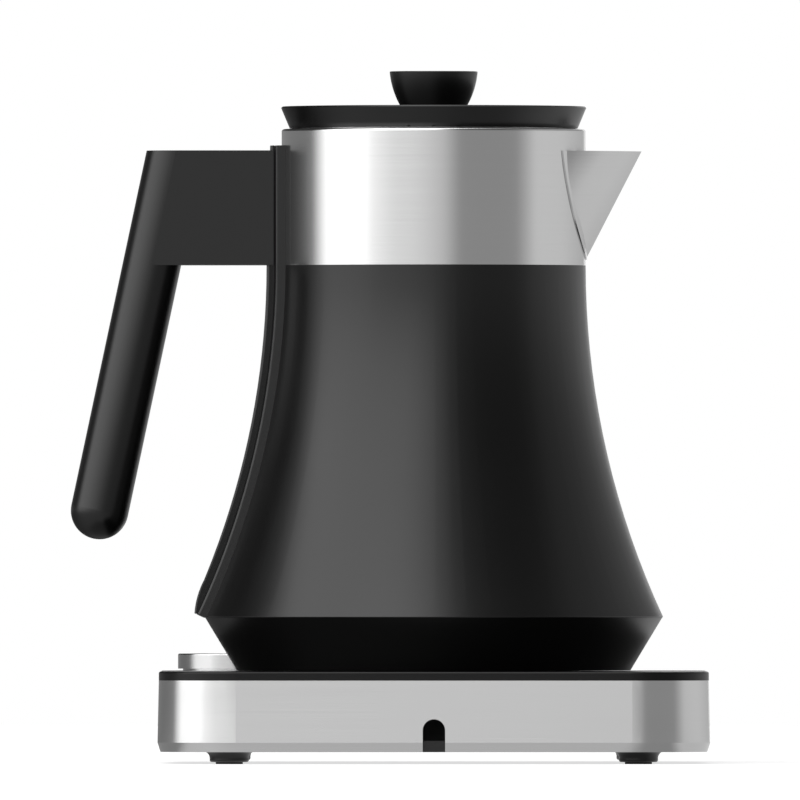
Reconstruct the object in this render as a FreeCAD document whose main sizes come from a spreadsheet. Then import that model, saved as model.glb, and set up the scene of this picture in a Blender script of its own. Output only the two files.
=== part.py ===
import FreeCAD, Part
import math
import os
import re

import Sketcher

# Cordless electric kettle on a square powered base. Millimetres. The frame's origin is on the
# jug's axis at the level the feet stand on: +X points to the spout, +Y to the front, +Z up.

# Driving dimensions
SIZES = {
    # Base
    "base_width": 200.0,
    "base_depth": 200.0,
    "base_corner": 28.4,
    "foot_height": 4.4,
    "band_height": 25.85,
    "band_wall": 1.2,
    "band_draft": 0.48,
    "chamfer_height": 3.4,
    "chamfer_depth": 1.1,
    "deck_thickness": 3.15,
    "deck_round": 0.6,
    "lip_depth": 4.0,
    "lip_wall": 1.6,
    "pan_thickness": 2.0,
    "pan_rim_height": 4.1,
    "pan_rim_wall": 2.0,
    "slot_width": 8.1,
    "slot_height": 11.9,
    # Feet
    "foot_inset": 26.0,
    "boss_radius": 7.1,
    "boss_flare": 1.5,
    "boss_flare_height": 2.3,
    "boss_flare_round": 2.6,
    "boss_round": 0.8,
    "pad_radius": 4.9,
    "pad_thickness": 2.2,
    "pad_proud": 0.7,
    # Screws and fits
    "fit_gap": 0.2,
    "screw_gap": 0.15,
    "thread_gap": 0.05,
    "run_gap": 0.03,
    "over_cut": 1.0,
    "pilot_room": 0.4,
    "screw_radius": 1.5,
    "screw_head_radius": 2.9,
    "screw_head_height": 2.0,
    "post_radius": 4.0,
    "base_post_inset": 16.0,
    "base_post_spread": 60.0,
    "base_screw_length": 10.0,
    "base_head_sink": 0.2,
    "base_boss_floor": 1.4,
    "base_boss_wall": 1.2,
    # Dial and its encoder
    "dial_radius": 21.8,
    "dial_height": 5.5,
    "dial_gap": 0.7,
    "dial_round": 0.5,
    "neck_inset": 1.8,
    "dial_top_wall": 1.5,
    "dial_side_wall": 1.4,
    "press_travel": 0.5,
    "press_gap": 0.4,
    "recess_depth": 1.6,
    "recess_gap": 0.6,
    "hub_rise": 0.3,
    "shaft_radius": 3.0,
    "shaft_flat": 2.3,
    "shaft_cover": 0.8,
    "shaft_room": 0.6,
    "encoder_size": 13.0,
    "encoder_height": 6.5,
    "encoder_roof": 1.5,
    "encoder_gap": 0.3,
    "rotor_radius": 4.9,
    "rotor_height": 2.2,
    "rotor_gap": 0.3,
    "switch_radius": 2.4,
    "switch_height": 0.9,
    # Control board and what it carries
    "board_length": 124.0,
    "board_depth": 31.0,
    "board_thickness": 1.6,
    "board_margin": 7.5,
    "board_post_radius": 3.2,
    "board_screw_offset": 28.0,
    "board_screw_inset": 6.0,
    "board_screw_bite": 4.0,
    "relay_length": 19.0,
    "relay_depth": 15.0,
    "relay_height": 12.0,
    "relay_offset": 3.5,
    "module_length": 26.0,
    "module_depth": 20.0,
    "module_height": 11.0,
    "module_offset": 11.0,
    "terminal_length": 24.0,
    "terminal_depth": 14.0,
    "terminal_height": 11.0,
    "terminal_gap": 6.0,
    # Wires inside the base
    "wire_radius": 1.1,
    "wire_bend": 6.0,
    "wire_rise": 3.0,
    "wire_step": 4.0,
    "wire_spacing": 5.0,
    "wire_inset": 1.0,
    # Cord clamp
    "cord_radius": 3.5,
    "cord_gap": 0.2,
    "clamp_length": 30.0,
    "clamp_depth": 9.0,
    "clamp_roof": 4.0,
    "clamp_inset": 24.0,
    "clamp_boss_height": 3.0,
    # Round connector, base half and jug half
    "plug_radius": 17.5,
    "plug_height": 11.0,
    "plug_flange_radius": 24.0,
    "plug_flange_height": 3.0,
    "plug_chamfer": 1.0,
    "plug_screw_bite": 2.0,
    "socket_gap": 0.5,
    "socket_wall": 4.0,
    "socket_top_wall": 2.0,
    "socket_flange_width": 4.0,
    "socket_flange_height": 2.6,
    "pin_radius": 3.2,
    "pin_length": 8.5,
    "pin_room": 1.0,
    "pin_stub": 1.0,
    "ring_inner_radius": 7.5,
    "ring_outer_radius": 13.0,
    "ring_wall": 1.0,
    "ring_length": 7.0,
    "groove_gap": 0.9,
    "groove_depth": 8.0,
    "contact_wall": 0.4,
    "contact_width": 2.4,
    "contact_gap": 0.15,
    "contact_drop": 2.0,
    "contact_tail": 4.0,
    "contact_slot_gap": 0.1,
    # Jug
    "seat_gap": 0.3,
    "swivel_gap": 0.5,
    "cup_height": 19.1,
    "cup_radius": 71.6,
    "cup_wall": 2.4,
    "cup_floor": 2.2,
    "cup_lip": 4.0,
    "rim_radius": 83.6,
    "rim_round": 0.5,
    "rim_step": 0.5,
    "shell_height": 128.1,
    "shell_wall": 2.4,
    "collar_radius": 55.3,
    "collar_height": 49.6,
    "collar_wall": 0.8,
    "collar_round": 1.0,
    "mouth_radius": 51.0,
    "vessel_gap": 3.0,
    "vessel_wall": 0.8,
    "floor_rise": 6.0,
    # Heater and sensors
    "plate_radius": 64.0,
    "plate_thickness": 3.0,
    "element_ring": 42.0,
    "element_radius": 3.4,
    "element_sweep": 320.0,
    "element_tail": 5.0,
    "element_tail_radius": 2.0,
    "element_tail_inset": 3.2,
    "sensor_radius": 3.0,
    "sensor_rise": 8.0,
    "sensor_flange_radius": 7.0,
    "sensor_flange_height": 2.0,
    "seal_thickness": 1.0,
    "seal_inset": 0.6,
    "cutout_radius": 8.0,
    "cutout_height": 5.5,
    "cutout_offset": 24.0,
    "cup_post_ring": 56.0,
    "cup_post_radius": 4.5,
    "cup_head_sink": 2.0,
    "plate_bite": 2.2,
    "retainer_post_ring": 31.0,
    "retainer_height": 2.5,
    "retainer_post_radius": 3.4,
    "retainer_margin": 0.6,
    "retainer_bite": 4.0,
    # Spout
    "spout_reach": 75.6,
    "spout_half_width": 28.2,
    "spout_height": 38.4,
    "spout_drop": 8.1,
    "spout_middle_share": 0.82,
    "spout_foot_share": 0.2,
    "spout_foot_proud": 0.5,
    "spout_bulge_radius": 62.0,
    "spout_wall": 1.0,
    "flange_half_width": 31.0,
    "flange_half_height": 52.0,
    "flange_drop": 1.1,
    "flange_wall": 0.5,
    "spout_root": 4.0,
    # Handle
    "arm_height": 41.7,
    "arm_drop": 7.8,
    "grip_radius": 10.5,
    "grip_tilt": 12.0,
    "grip_end_out": 121.5,
    "grip_end_drop": 89.2,
    "spine_drop": 6.0,
    "spine_half_width": 12.6,
    "spine_proud": 3.4,
    "spine_round": 0.9,
    "cover_half_width": 9.6,
    "cover_proud": 5.5,
    "cover_top_proud": 4.2,
    "cover_end_proud": 3.8,
    "cover_end_height": 13.6,
    "cover_end_round": 30.0,
    "cover_crown_shift": 15.0,
    "arm_groove": 0.5,
    "arm_screw_depth": 14.0,
    "arm_screw_inset": 10.4,
    "spine_head_sink": 0.3,
    "spine_screw_length": 3.8,
    "spine_screw_high_drop": 25.0,
    "spine_screw_low_drop": 75.0,
    # Lid
    "lid_gap": 0.3,
    "lid_height": 7.9,
    "lid_top_radius": 55.5,
    "lid_bottom_radius": 52.4,
    "lid_chamfer": 0.5,
    "lid_wall": 2.2,
    "lid_plug_radius": 48.4,
    "lid_plug_depth": 13.0,
    "lid_plug_wall": 0.8,
    "lid_plug_gap": 0.3,
    "gasket_height": 4.0,
    "gasket_gap": 0.4,
    "gasket_drop": 0.5,
    "gasket_lip": 0.8,
    "knob_height": 12.8,
    "knob_top_radius": 16.0,
    "knob_bottom_radius": 12.0,
    "knob_side_round": 30.0,
    "knob_chamfer": 0.25,
    "knob_screw_depth": 9.0,
    "vent_radius": 0.7,
    "vent_spacing": 9.0,
    "vent_wall": 0.5,
}

# Heights and places that follow from the driving dimensions
PLACES = {
    "band_top": "foot_height + band_height",
    "deck_top": "band_top + deck_thickness",
    "pan_top": "foot_height + pan_thickness",
    "base_seat": "foot_height + screw_head_height + base_head_sink",
    "base_boss_top": "base_seat + base_boss_floor",
    "base_x": "base_width / 2",
    "base_y": "base_depth / 2",
    "foot_x": "base_x - foot_inset",
    "foot_y": "base_y - foot_inset",
    "dial_x": "base_corner - base_x",
    "dial_y": "base_y - base_corner",
    "dial_bottom": "deck_top + dial_gap",
    "dial_top": "dial_bottom + dial_height",
    "neck_radius": "dial_radius - neck_inset",
    "neck_bottom": "deck_top - recess_depth + press_travel + press_gap",
    "board_top": "band_top - encoder_gap - encoder_height",
    "board_left": "dial_x - encoder_size / 2 - board_margin",
    "board_front": "dial_y + encoder_size / 2 + board_margin",
    "board_back": "board_front - board_depth",
    "board_y": "board_front - board_depth / 2",
    "board_bottom": "board_top - board_thickness",
    "board_far_screw": "board_left + board_length - board_screw_inset",
    "module_x": "board_far_screw - module_offset - module_length / 2",
    "relay_x": "module_x - module_length / 2 - relay_offset - relay_length / 2",
    "rotor_bottom": "board_top + encoder_height - encoder_roof - rotor_gap - rotor_height",
    "shaft_bottom": "board_top + switch_height + press_travel + press_gap",
    "shaft_top": "dial_top - dial_top_wall - shaft_cover",
    "slot_top": "foot_height + slot_height",
    "cord_z": "slot_top - slot_width / 2",
    "clamp_y": "clamp_inset - base_y",
    "clamp_bottom": "pan_top + clamp_boss_height",
    "clamp_top": "cord_z + cord_radius + clamp_roof",
    "terminal_front": "clamp_y + clamp_depth / 2 + terminal_gap + terminal_depth",
    "plug_top": "deck_top + plug_height",
    "plug_bottom": "band_top - plug_flange_height",
    "contact_bottom": "plug_bottom - contact_tail",
    "wire_low": "pan_top + wire_rise",
    "wire_high": "wire_low + wire_step",
    "wire_end": "board_back + wire_inset + wire_radius",
    "jug_bottom": "deck_top + seat_gap",
    "cup_top": "jug_bottom + cup_floor",
    "rim": "jug_bottom + cup_height",
    "collar_bottom": "rim + shell_height",
    "collar_top": "collar_bottom + collar_height",
    "lid_bottom": "collar_top + lid_gap",
    "lid_top": "lid_bottom + lid_height",
    "flare_step": "rim_radius - collar_radius",
    "flare_radius": "(shell_height ^ 2 + flare_step ^ 2) / (2 * flare_step)",
    "flare_centre": "collar_radius + flare_radius",
    "rim_out_x": "(flare_centre - rim_radius) / flare_radius",
    "rim_out_z": "shell_height / flare_radius",
    "vessel_inset": "shell_wall + vessel_gap",
    "vessel_inner": "collar_radius - vessel_inset - vessel_wall",
    "vessel_floor": "rim + floor_rise",
    "plate_bottom": "vessel_floor - plate_thickness",
    "element_z": "plate_bottom - element_radius - thread_gap",
    "seal_bottom": "plate_bottom - seal_thickness",
    "cup_seat": "jug_bottom + screw_head_height + cup_head_sink",
    "socket_radius": "plug_radius + socket_gap",
    "socket_outer": "socket_radius + socket_wall",
    "socket_flange": "socket_outer + socket_flange_width",
    "socket_roof": "plug_top + socket_gap",
    "flange_bottom": "cup_top + seat_gap",
    "flange_top": "flange_bottom + socket_flange_height",
    "retainer_bottom": "flange_top + seat_gap",
    "retainer_top": "retainer_bottom + retainer_height",
    "spout_top": "collar_top - spout_drop",
    "spout_foot": "spout_top - spout_height",
    "spine_top": "collar_top - spine_drop",
    "arm_top": "collar_top - arm_drop",
    "arm_bottom": "arm_top - arm_height",
    "grip_end": "arm_bottom - grip_end_drop",
    "gasket_top": "lid_bottom - gasket_drop",
    "knob_top": "lid_top + knob_height",
    "lid_cavity": "lid_plug_radius + fit_gap",
}

doc = FreeCAD.newDocument("Kettle")
sheet = doc.addObject("Spreadsheet::Sheet", "Sizes")
for row, (alias, number) in enumerate(SIZES.items(), 1):
    sheet.set(f"A{row}", alias)
    sheet.set(f"B{row}", str(number))
    sheet.setAlias(f"B{row}", alias)
doc.recompute()

nodes = []


# Sizes in words

def sized(words):
    """The document's expression for a formula in words, with every place and size spelled out."""
    def spell(match):
        name = match.group()
        if name in PLACES:
            return "(" + sized(PLACES[name]) + ")"
        if name in SIZES:
            return "Sizes." + name
        return name
    return re.sub(r"[a-z_]+", spell, words)


def amount(words):
    """The number a formula in words gives now."""
    return float(sheet.evalExpression(sized(words)))


def bind(item, **formulas):
    """Ties properties of a document object to formulas in words."""
    for name, words in formulas.items():
        item.setExpression(name, sized(words))
    return item


def place(item, x="0", y="0", z="0"):
    """Ties an object's position to formulas in words."""
    for axis, words in zip("xyz", (x, y, z)):
        item.setExpression("Placement.Base." + axis, sized(words))
    return item


def flare_x(offset, height):
    """Radius of the jug's flare at a height, moved outwards by an offset."""
    return (f"flare_centre - sqrt((flare_radius - ({offset})) ^ 2"
            f" - (collar_bottom - ({height})) ^ 2)")


# Sketches and the shapes grown from them

def flat_sketch(body, name, role, lift="0"):
    """An empty sketch on one of a body's own planes, lifted along that plane's normal."""
    sketch = body.newObject("Sketcher::SketchObject", name)
    plane = next(item for item in body.Origin.OriginFeatures if item.Role == role)
    sketch.AttachmentSupport = [(plane, "")]
    sketch.MapMode = "FlatFace"
    sketch.setExpression("AttachmentOffset.Base.z", sized(lift))
    return sketch


def outline(sketch, corners, closed=True):
    """Outline through corners (x, y), or (x, y, radius, side) where an arc leaves the corner.
    Side 1 puts the arc's centre on the left of the way round, side -1 on the right."""
    points = [FreeCAD.Vector(amount(corner[0]), amount(corner[1]), 0) for corner in corners]
    starts = []
    ends = []
    spans = corners if closed else corners[:-1]
    for index, corner in enumerate(spans):
        start = points[index]
        end = points[(index + 1) % len(points)]
        if len(corner) == 2:
            sketch.addGeometry(Part.LineSegment(start, end), False)
            starts.append(1)
            ends.append(2)
            continue
        radius = amount(corner[2])
        chord = end - start
        across = FreeCAD.Vector(-chord.y, chord.x, 0).normalize() * corner[3]
        centre = (start + end) / 2 + across * math.sqrt(max(radius ** 2 - chord.Length ** 2 / 4, 0))
        first, last = (start, end) if corner[3] == 1 else (end, start)
        circle = Part.Circle(centre, FreeCAD.Vector(0, 0, 1), radius)
        angles = [math.atan2(point.y - centre.y, point.x - centre.x) for point in (first, last)]
        sketch.addGeometry(Part.ArcOfCircle(circle, *angles), False)
        starts.append(1 if corner[3] == 1 else 2)
        ends.append(2 if corner[3] == 1 else 1)
    for index, corner in enumerate(corners):
        after = (index + 1) % len(corners)
        if closed or after in range(1, len(spans)):
            sketch.addConstraint(Sketcher.Constraint("Coincident", index, ends[index], after, starts[after]))
        spot = points[index]
        line, end = (index, starts[index]) if index < len(spans) else (index - 1, ends[index - 1])
        for kind, words, number in (("DistanceX", corner[0], spot.x), ("DistanceY", corner[1], spot.y)):
            rule = sketch.addConstraint(Sketcher.Constraint(kind, -1, 1, line, end, number))
            sketch.setExpression(f"Constraints[{rule}]", sized(words))
        if len(corner) > 2:
            rule = sketch.addConstraint(Sketcher.Constraint("Radius", index, amount(corner[2])))
            sketch.setExpression(f"Constraints[{rule}]", sized(corner[2]))
    return sketch


def turned(name, corners):
    """A body turned about Z from an outline of (radius, height) corners."""
    body = doc.addObject("PartDesign::Body", name)
    profile = outline(flat_sketch(body, name + "_profile", "XZ_Plane"), corners)
    turn = body.newObject("PartDesign::Revolution", name + "_turn")
    turn.Profile = profile
    turn.ReferenceAxis = (profile, ["V_Axis"])
    turn.Angle = 360
    return body


def plate(name, corners, bottom, thickness):
    """A flat body padded up from an outline of (x, y) corners."""
    body = doc.addObject("PartDesign::Body", name)
    profile = outline(flat_sketch(body, name + "_outline", "XY_Plane", bottom), corners)
    pad = body.newObject("PartDesign::Pad", name + "_pad")
    pad.Profile = profile
    bind(pad, Length=thickness)
    return body


def rounded(inset):
    """Corners of the base's rounded square, moved in by an inset."""
    long_x = f"base_x - ({inset})"
    long_y = f"base_y - ({inset})"
    short_x = "base_x - base_corner"
    short_y = "base_y - base_corner"
    bend = f"base_corner - ({inset})"
    return [
        (f"-({short_x})", f"-({long_y})"),
        (short_x, f"-({long_y})", bend, 1),
        (long_x, f"-({short_y})"),
        (long_x, short_y, bend, 1),
        (short_x, long_y),
        (f"-({short_x})", long_y, bend, 1),
        (f"-({long_x})", short_y),
        (f"-({long_x})", f"-({short_y})", bend, 1),
    ]


# Plain solids and how they are joined

TURNS = {
    "Z": FreeCAD.Rotation(),
    "X": FreeCAD.Rotation(FreeCAD.Vector(0, 1, 0), 90),
    "Y": FreeCAD.Rotation(FreeCAD.Vector(1, 0, 0), -90),
}


def cylinder(name, radius, height, x="0", y="0", z="0", along="Z"):
    """A cylinder that starts at a point and runs along an axis."""
    rod = doc.addObject("Part::Cylinder", name)
    rod.Placement = FreeCAD.Placement(FreeCAD.Vector(), TURNS[along])
    return place(bind(rod, Radius=radius, Height=height), x, y, z)


def block(name, length, depth, height, x="0", y="0", z="0"):
    """A box centred on (x, y) that stands on z."""
    box = bind(doc.addObject("Part::Box", name), Length=length, Width=depth, Height=height)
    return place(box, f"({x}) - ({length}) / 2", f"({y}) - ({depth}) / 2", z)


def fuse(name, *items):
    """One solid made of several that overlap or touch."""
    joined = doc.addObject("Part::MultiFuse", name)
    joined.Shapes = list(items)
    joined.Refine = True
    return joined


def cut(name, item, *tools):
    """An item with one or more tools taken out of it."""
    result = doc.addObject("Part::Cut", name)
    result.Base = item
    result.Tool = tools[0] if len(tools) == 1 else fuse(name + "_tools", *tools)
    result.Refine = True
    return result


def common(name, *items):
    """What several solids have in common."""
    shared = doc.addObject("Part::MultiCommon", name)
    shared.Shapes = list(items)
    shared.Refine = True
    return shared


def group(name, items):
    """Separate solids that share one node."""
    kit = doc.addObject("Part::Compound", name)
    kit.Links = list(items)
    return kit


def node(name, item):
    """Marks an object as a sub-part of the kettle."""
    item.Label = name
    nodes.append(item)
    return item


def screw(name, length, x, y, z, along="Z", flip=False):
    """A pan-head screw: its shank runs from (x, y, z) along an axis, its head sits behind that point."""
    back = {"X": "0", "Y": "0", "Z": "0"}
    back[along] = "screw_head_height"
    shank_shift = {"X": "0", "Y": "0", "Z": "0"}
    if flip:
        shank_shift[along] = length
        back[along] = "0"
    head = cylinder(name + "_head", "screw_head_radius", "screw_head_height",
                    f"({x}) - {back['X']}", f"({y}) - {back['Y']}", f"({z}) - {back['Z']}", along)
    shank = cylinder(name + "_shank", "screw_radius", length, f"({x}) - ({shank_shift['X']})",
                     f"({y}) - ({shank_shift['Y']})", f"({z}) - ({shank_shift['Z']})", along)
    return fuse(name, head, shank)


def around(count, ring):
    """Evenly spaced places on a ring about the jug's axis, the first on the +Y side."""
    spots = []
    for step in range(count):
        turn = f"({90 + 360 * step / count} * 1 deg)"
        spots.append((f"{ring} * cos{turn}", f"{ring} * sin{turn}"))
    return spots


four_corners = [(1, 1), (-1, 1), (-1, -1), (1, -1)]

# Base band: a chamfered lower edge below a slightly drafted wall, open above and below


def band_form(name, inset):
    """The base's outer form moved in by an inset, with the chamfer along its lower edge."""
    rise = "band_height - chamfer_height"
    body = plate(name, rounded(inset), "foot_height + chamfer_height", rise)
    bind(body.Tip, TaperAngle=f"-atan(band_draft / ({rise}))")
    lower = outline(flat_sketch(body, name + "_lower", "XY_Plane", "foot_height + chamfer_height"),
                    rounded(inset))
    taper = body.newObject("PartDesign::Pad", name + "_taper")
    taper.Profile = lower
    taper.Reversed = True
    bind(taper, Length="chamfer_height", TaperAngle="-atan(chamfer_depth / chamfer_height)")
    return body


slot_arch = cylinder("slot_arch", "slot_width / 2", "base_corner", y="-base_y - over_cut", z="cord_z",
                     along="Y")
slot_legs = block("slot_legs", "slot_width", "base_corner", "cord_z - foot_height + over_cut",
                  y="base_corner / 2 - base_y - over_cut", z="foot_height - over_cut")
node("base_band", cut("base_band", band_form("band_outer", "0"), band_form("band_inner", "band_wall"),
                      slot_arch, slot_legs))

# Base deck: top plate, locating lip, screw posts, and openings for the plug and the dial
deck_plate = plate("deck_plate", rounded("band_draft"), "band_top", "deck_thickness")
doc.recompute()
deck_pad = deck_plate.Tip
face_heights = [face.CenterOfMass.z for face in deck_pad.Shape.Faces]
deck_face = face_heights.index(max(face_heights))
deck_edge = deck_plate.newObject("PartDesign::Fillet", "deck_edge")
deck_edge.Base = (deck_pad, [f"Face{deck_face + 1}"])
bind(deck_edge, Radius="deck_round")
lip_inset = "band_draft + band_wall + fit_gap"
deck_lip = cut("deck_lip",
               plate("lip_outer", rounded(lip_inset), "band_top - lip_depth", "lip_depth"),
               plate("lip_inner", rounded(lip_inset + " + lip_wall"), "band_top - lip_depth", "lip_depth"))
post_spots = [(f"{side_x} * (base_x - base_post_inset)", f"{side_y} * base_post_spread / 2")
              for side_x, side_y in four_corners]
board_spots = [("dial_x + board_screw_offset", "dial_y"),
               ("board_far_screw", "dial_y")]
deck_parts = [deck_plate, deck_lip]
deck_holes = [
    cylinder("plug_opening", "plug_radius + fit_gap", "deck_thickness + 2 * over_cut",
             z="band_top - over_cut"),
    cylinder("dial_recess", "neck_radius + recess_gap", "recess_depth + over_cut", "dial_x", "dial_y",
             "deck_top - recess_depth"),
    cylinder("shaft_opening", "shaft_radius + shaft_room", "deck_thickness + 2 * over_cut",
             "dial_x", "dial_y", "band_top - over_cut"),
]
base_screw_list = []
for index, (x, y) in enumerate(post_spots, 1):
    deck_parts.append(cylinder(f"deck_post_{index}", "post_radius", "band_top - base_boss_top", x, y,
                               "base_boss_top"))
    deck_holes.append(cylinder(f"deck_pilot_{index}", "screw_radius + thread_gap",
                               "base_screw_length + pilot_room", x, y, "base_seat"))
    base_screw_list.append(screw(f"base_screw_{index}", "base_screw_length", x, y, "base_seat"))
board_screw_list = []
for index, (x, y) in enumerate(board_spots, 1):
    deck_parts.append(cylinder(f"board_post_{index}", "board_post_radius", "band_top - board_top", x, y,
                               "board_top"))
    deck_holes.append(cylinder(f"board_pilot_{index}", "screw_radius + thread_gap",
                               "board_screw_bite + pilot_room + over_cut", x, y, "board_top - over_cut"))
    board_screw_list.append(screw(f"board_screw_{index}", "board_thickness + board_screw_bite", x, y,
                                  "board_bottom"))
plug_spots = around(3, "(plug_radius + plug_flange_radius) / 2")
plug_screw_list = []
plug_holes = []
for index, (x, y) in enumerate(plug_spots, 1):
    deck_holes.append(cylinder(f"plug_pilot_{index}", "screw_radius + thread_gap",
                               "plug_screw_bite + pilot_room + over_cut", x, y, "band_top - over_cut"))
    plug_holes.append(cylinder(f"plug_hole_{index}", "screw_radius + screw_gap",
                               "plug_flange_height + 2 * over_cut", x, y, "plug_bottom - over_cut"))
    plug_screw_list.append(screw(f"plug_screw_{index}", "plug_flange_height + plug_screw_bite", x, y,
                                 "plug_bottom"))
node("base_deck", cut("base_deck", fuse("deck_body", *deck_parts), *deck_holes))
node("base_screws", group("base_screws", base_screw_list))
node("board_screws", group("board_screws", board_screw_list))
node("connector_screws", group("connector_screws", plug_screw_list))

# Base pan: floor, rim, foot bosses, screw bosses and cord clamp bosses
pan_inset = "band_wall + chamfer_depth + fit_gap"
pan_parts = [
    plate("pan_floor", rounded(pan_inset), "foot_height", "pan_thickness"),
    cut("pan_rim", plate("rim_outer", rounded(pan_inset), "foot_height", "pan_rim_height"),
        plate("rim_inner", rounded(pan_inset + " + pan_rim_wall"), "foot_height", "pan_rim_height")),
]
pan_holes = []
boss_outline = [
    ("0", "pad_proud"),
    ("boss_radius - boss_round", "pad_proud", "boss_round", 1),
    ("boss_radius", "pad_proud + boss_round"),
    ("boss_radius", "foot_height - boss_flare_height", "boss_flare_round", -1),
    ("boss_radius + boss_flare", "foot_height"),
    ("boss_radius + boss_flare", "foot_height + pan_thickness / 2"),
    ("0", "foot_height + pan_thickness / 2"),
]
for index, (side_x, side_y) in enumerate(four_corners, 1):
    x = f"{side_x} * foot_x"
    y = f"{side_y} * foot_y"
    pan_parts.append(place(turned(f"foot_boss_{index}", boss_outline), x, y))
    pan_holes.append(cylinder(f"pad_pocket_{index}", "pad_radius + thread_gap", "pad_thickness", x, y))
    node(f"foot_pad_{index}", cylinder(f"foot_pad_{index}", "pad_radius", "pad_thickness", x, y))
for index, (x, y) in enumerate(post_spots, 1):
    pan_parts.append(cylinder(f"pan_boss_{index}", "screw_head_radius + screw_gap + base_boss_wall",
                              "base_boss_top - foot_height", x, y, "foot_height"))
    pan_holes.append(cylinder(f"pan_hole_{index}", "screw_radius + screw_gap",
                              "base_boss_top - foot_height + 2 * over_cut", x, y, "foot_height - over_cut"))
    pan_holes.append(cylinder(f"pan_head_{index}", "screw_head_radius + screw_gap",
                              "base_seat - foot_height + over_cut", x, y, "foot_height - over_cut"))
clamp_spots = [(f"{side} * (clamp_length / 2 - post_radius)", "clamp_y") for side in (1, -1)]
clamp_screw_list = []
clamp_holes = [
    cylinder("clamp_tunnel", "cord_radius + cord_gap", "clamp_depth + 2 * over_cut",
             y="clamp_y - clamp_depth / 2 - over_cut", z="cord_z", along="Y"),
    block("clamp_mouth", "2 * (cord_radius + cord_gap)", "clamp_depth + 2 * over_cut",
          "cord_z - clamp_bottom + over_cut", y="clamp_y", z="clamp_bottom - over_cut"),
]
for index, (x, y) in enumerate(clamp_spots, 1):
    pan_parts.append(cylinder(f"clamp_boss_{index}", "post_radius", "clamp_boss_height + pan_thickness / 2",
                              x, y, "pan_top - pan_thickness / 2"))
    pan_holes.append(cylinder(f"clamp_pilot_{index}", "screw_radius + thread_gap",
                              "clamp_boss_height + pilot_room + over_cut", x, y, "pan_top - pilot_room"))
    clamp_holes.append(cylinder(f"clamp_hole_{index}", "screw_radius + screw_gap",
                                "clamp_top - clamp_bottom + 2 * over_cut", x, y, "clamp_bottom - over_cut"))
    clamp_screw_list.append(screw(f"clamp_screw_{index}", "clamp_top - pan_top", x, y, "clamp_top",
                                  flip=True))
node("base_pan", cut("base_pan", fuse("pan_body", *pan_parts), *pan_holes))
clamp_body = block("clamp_body", "clamp_length", "clamp_depth", "clamp_top - clamp_bottom", y="clamp_y",
                   z="clamp_bottom")
node("cord_clamp", cut("cord_clamp", clamp_body, *clamp_holes))
node("clamp_screws", group("clamp_screws", clamp_screw_list))

# Control board, its parts, and the terminal block for the lead
board_holes = [cylinder(f"board_hole_{index}", "screw_radius + screw_gap", "board_thickness + 2 * over_cut",
                        x, y, "board_bottom - over_cut") for index, (x, y) in enumerate(board_spots, 1)]
board_body = block("board_body", "board_length", "board_depth", "board_thickness",
                   "board_left + board_length / 2", "board_y", "board_bottom")
node("control_board", cut("control_board", board_body, *board_holes))
node("power_relay", block("power_relay", "relay_length", "relay_depth", "relay_height",
                          "relay_x", "board_y", "board_bottom - relay_height"))
node("power_module", block("power_module", "module_length", "module_depth", "module_height",
                           "module_x", "board_y", "board_bottom - module_height"))
node("terminal_block", block("terminal_block", "terminal_length", "terminal_depth", "terminal_height",
                             y="terminal_front - terminal_depth / 2", z="pan_top"))

# Push encoder under the dial
encoder_shell = block("encoder_shell", "encoder_size", "encoder_size", "encoder_height", "dial_x", "dial_y",
                      "board_top")
encoder_cavity = cylinder("encoder_cavity", "rotor_radius + rotor_gap", "encoder_height - encoder_roof",
                          "dial_x", "dial_y", "board_top")
encoder_mouth = cylinder("encoder_mouth", "shaft_radius + rotor_gap", "encoder_height + over_cut",
                         "dial_x", "dial_y", "board_top")
node("encoder_body", cut("encoder_body", encoder_shell, encoder_cavity, encoder_mouth))
node("press_switch", cylinder("press_switch", "switch_radius", "switch_height", "dial_x", "dial_y",
                              "board_top"))


def flat_rod(name, gap, bottom, length):
    """The dial's D-shaped shaft, or the hole it sits in where the gap is above zero."""
    rod = cylinder(name + "_round", f"shaft_radius + {gap}", length, "dial_x", "dial_y", bottom)
    side = block(name + "_flat", "shaft_radius", "3 * shaft_radius", f"{length} + 2 * over_cut",
                 f"dial_x + shaft_flat + {gap} + shaft_radius / 2", "dial_y", f"{bottom} - over_cut")
    return cut(name, rod, side)


rotor_disc = cylinder("rotor_disc", "rotor_radius", "rotor_height", "dial_x", "dial_y", "rotor_bottom")
rotor_bore = flat_rod("rotor_bore", "run_gap", "rotor_bottom - over_cut", "rotor_height + 2 * over_cut")
node("encoder_rotor", cut("encoder_rotor", rotor_disc, rotor_bore))

# Dial: steel cap with a neck that runs in the deck's recess, plastic hub and shaft
cap_outline = [
    ("neck_radius - dial_side_wall", "neck_bottom"),
    ("neck_radius", "neck_bottom"),
    ("neck_radius", "dial_bottom"),
    ("dial_radius", "dial_bottom"),
    ("dial_radius", "dial_top - dial_round", "dial_round", 1),
    ("dial_radius - dial_round", "dial_top"),
    ("0", "dial_top"),
    ("0", "dial_top - dial_top_wall"),
    ("neck_radius - dial_side_wall", "dial_top - dial_top_wall"),
]
node("dial_cap", place(turned("dial_cap", cap_outline), "dial_x", "dial_y"))
hub_body = cylinder("hub_body", "neck_radius - dial_side_wall - thread_gap",
                    "dial_top - dial_top_wall - neck_bottom - hub_rise", "dial_x", "dial_y",
                    "neck_bottom + hub_rise")
hub_bore = flat_rod("hub_bore", "run_gap", "neck_bottom - over_cut", "shaft_top - neck_bottom + over_cut")
node("dial_hub", cut("dial_hub", hub_body, hub_bore))
node("dial_shaft", flat_rod("dial_shaft", "0", "shaft_bottom", "shaft_top - shaft_bottom"))

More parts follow.
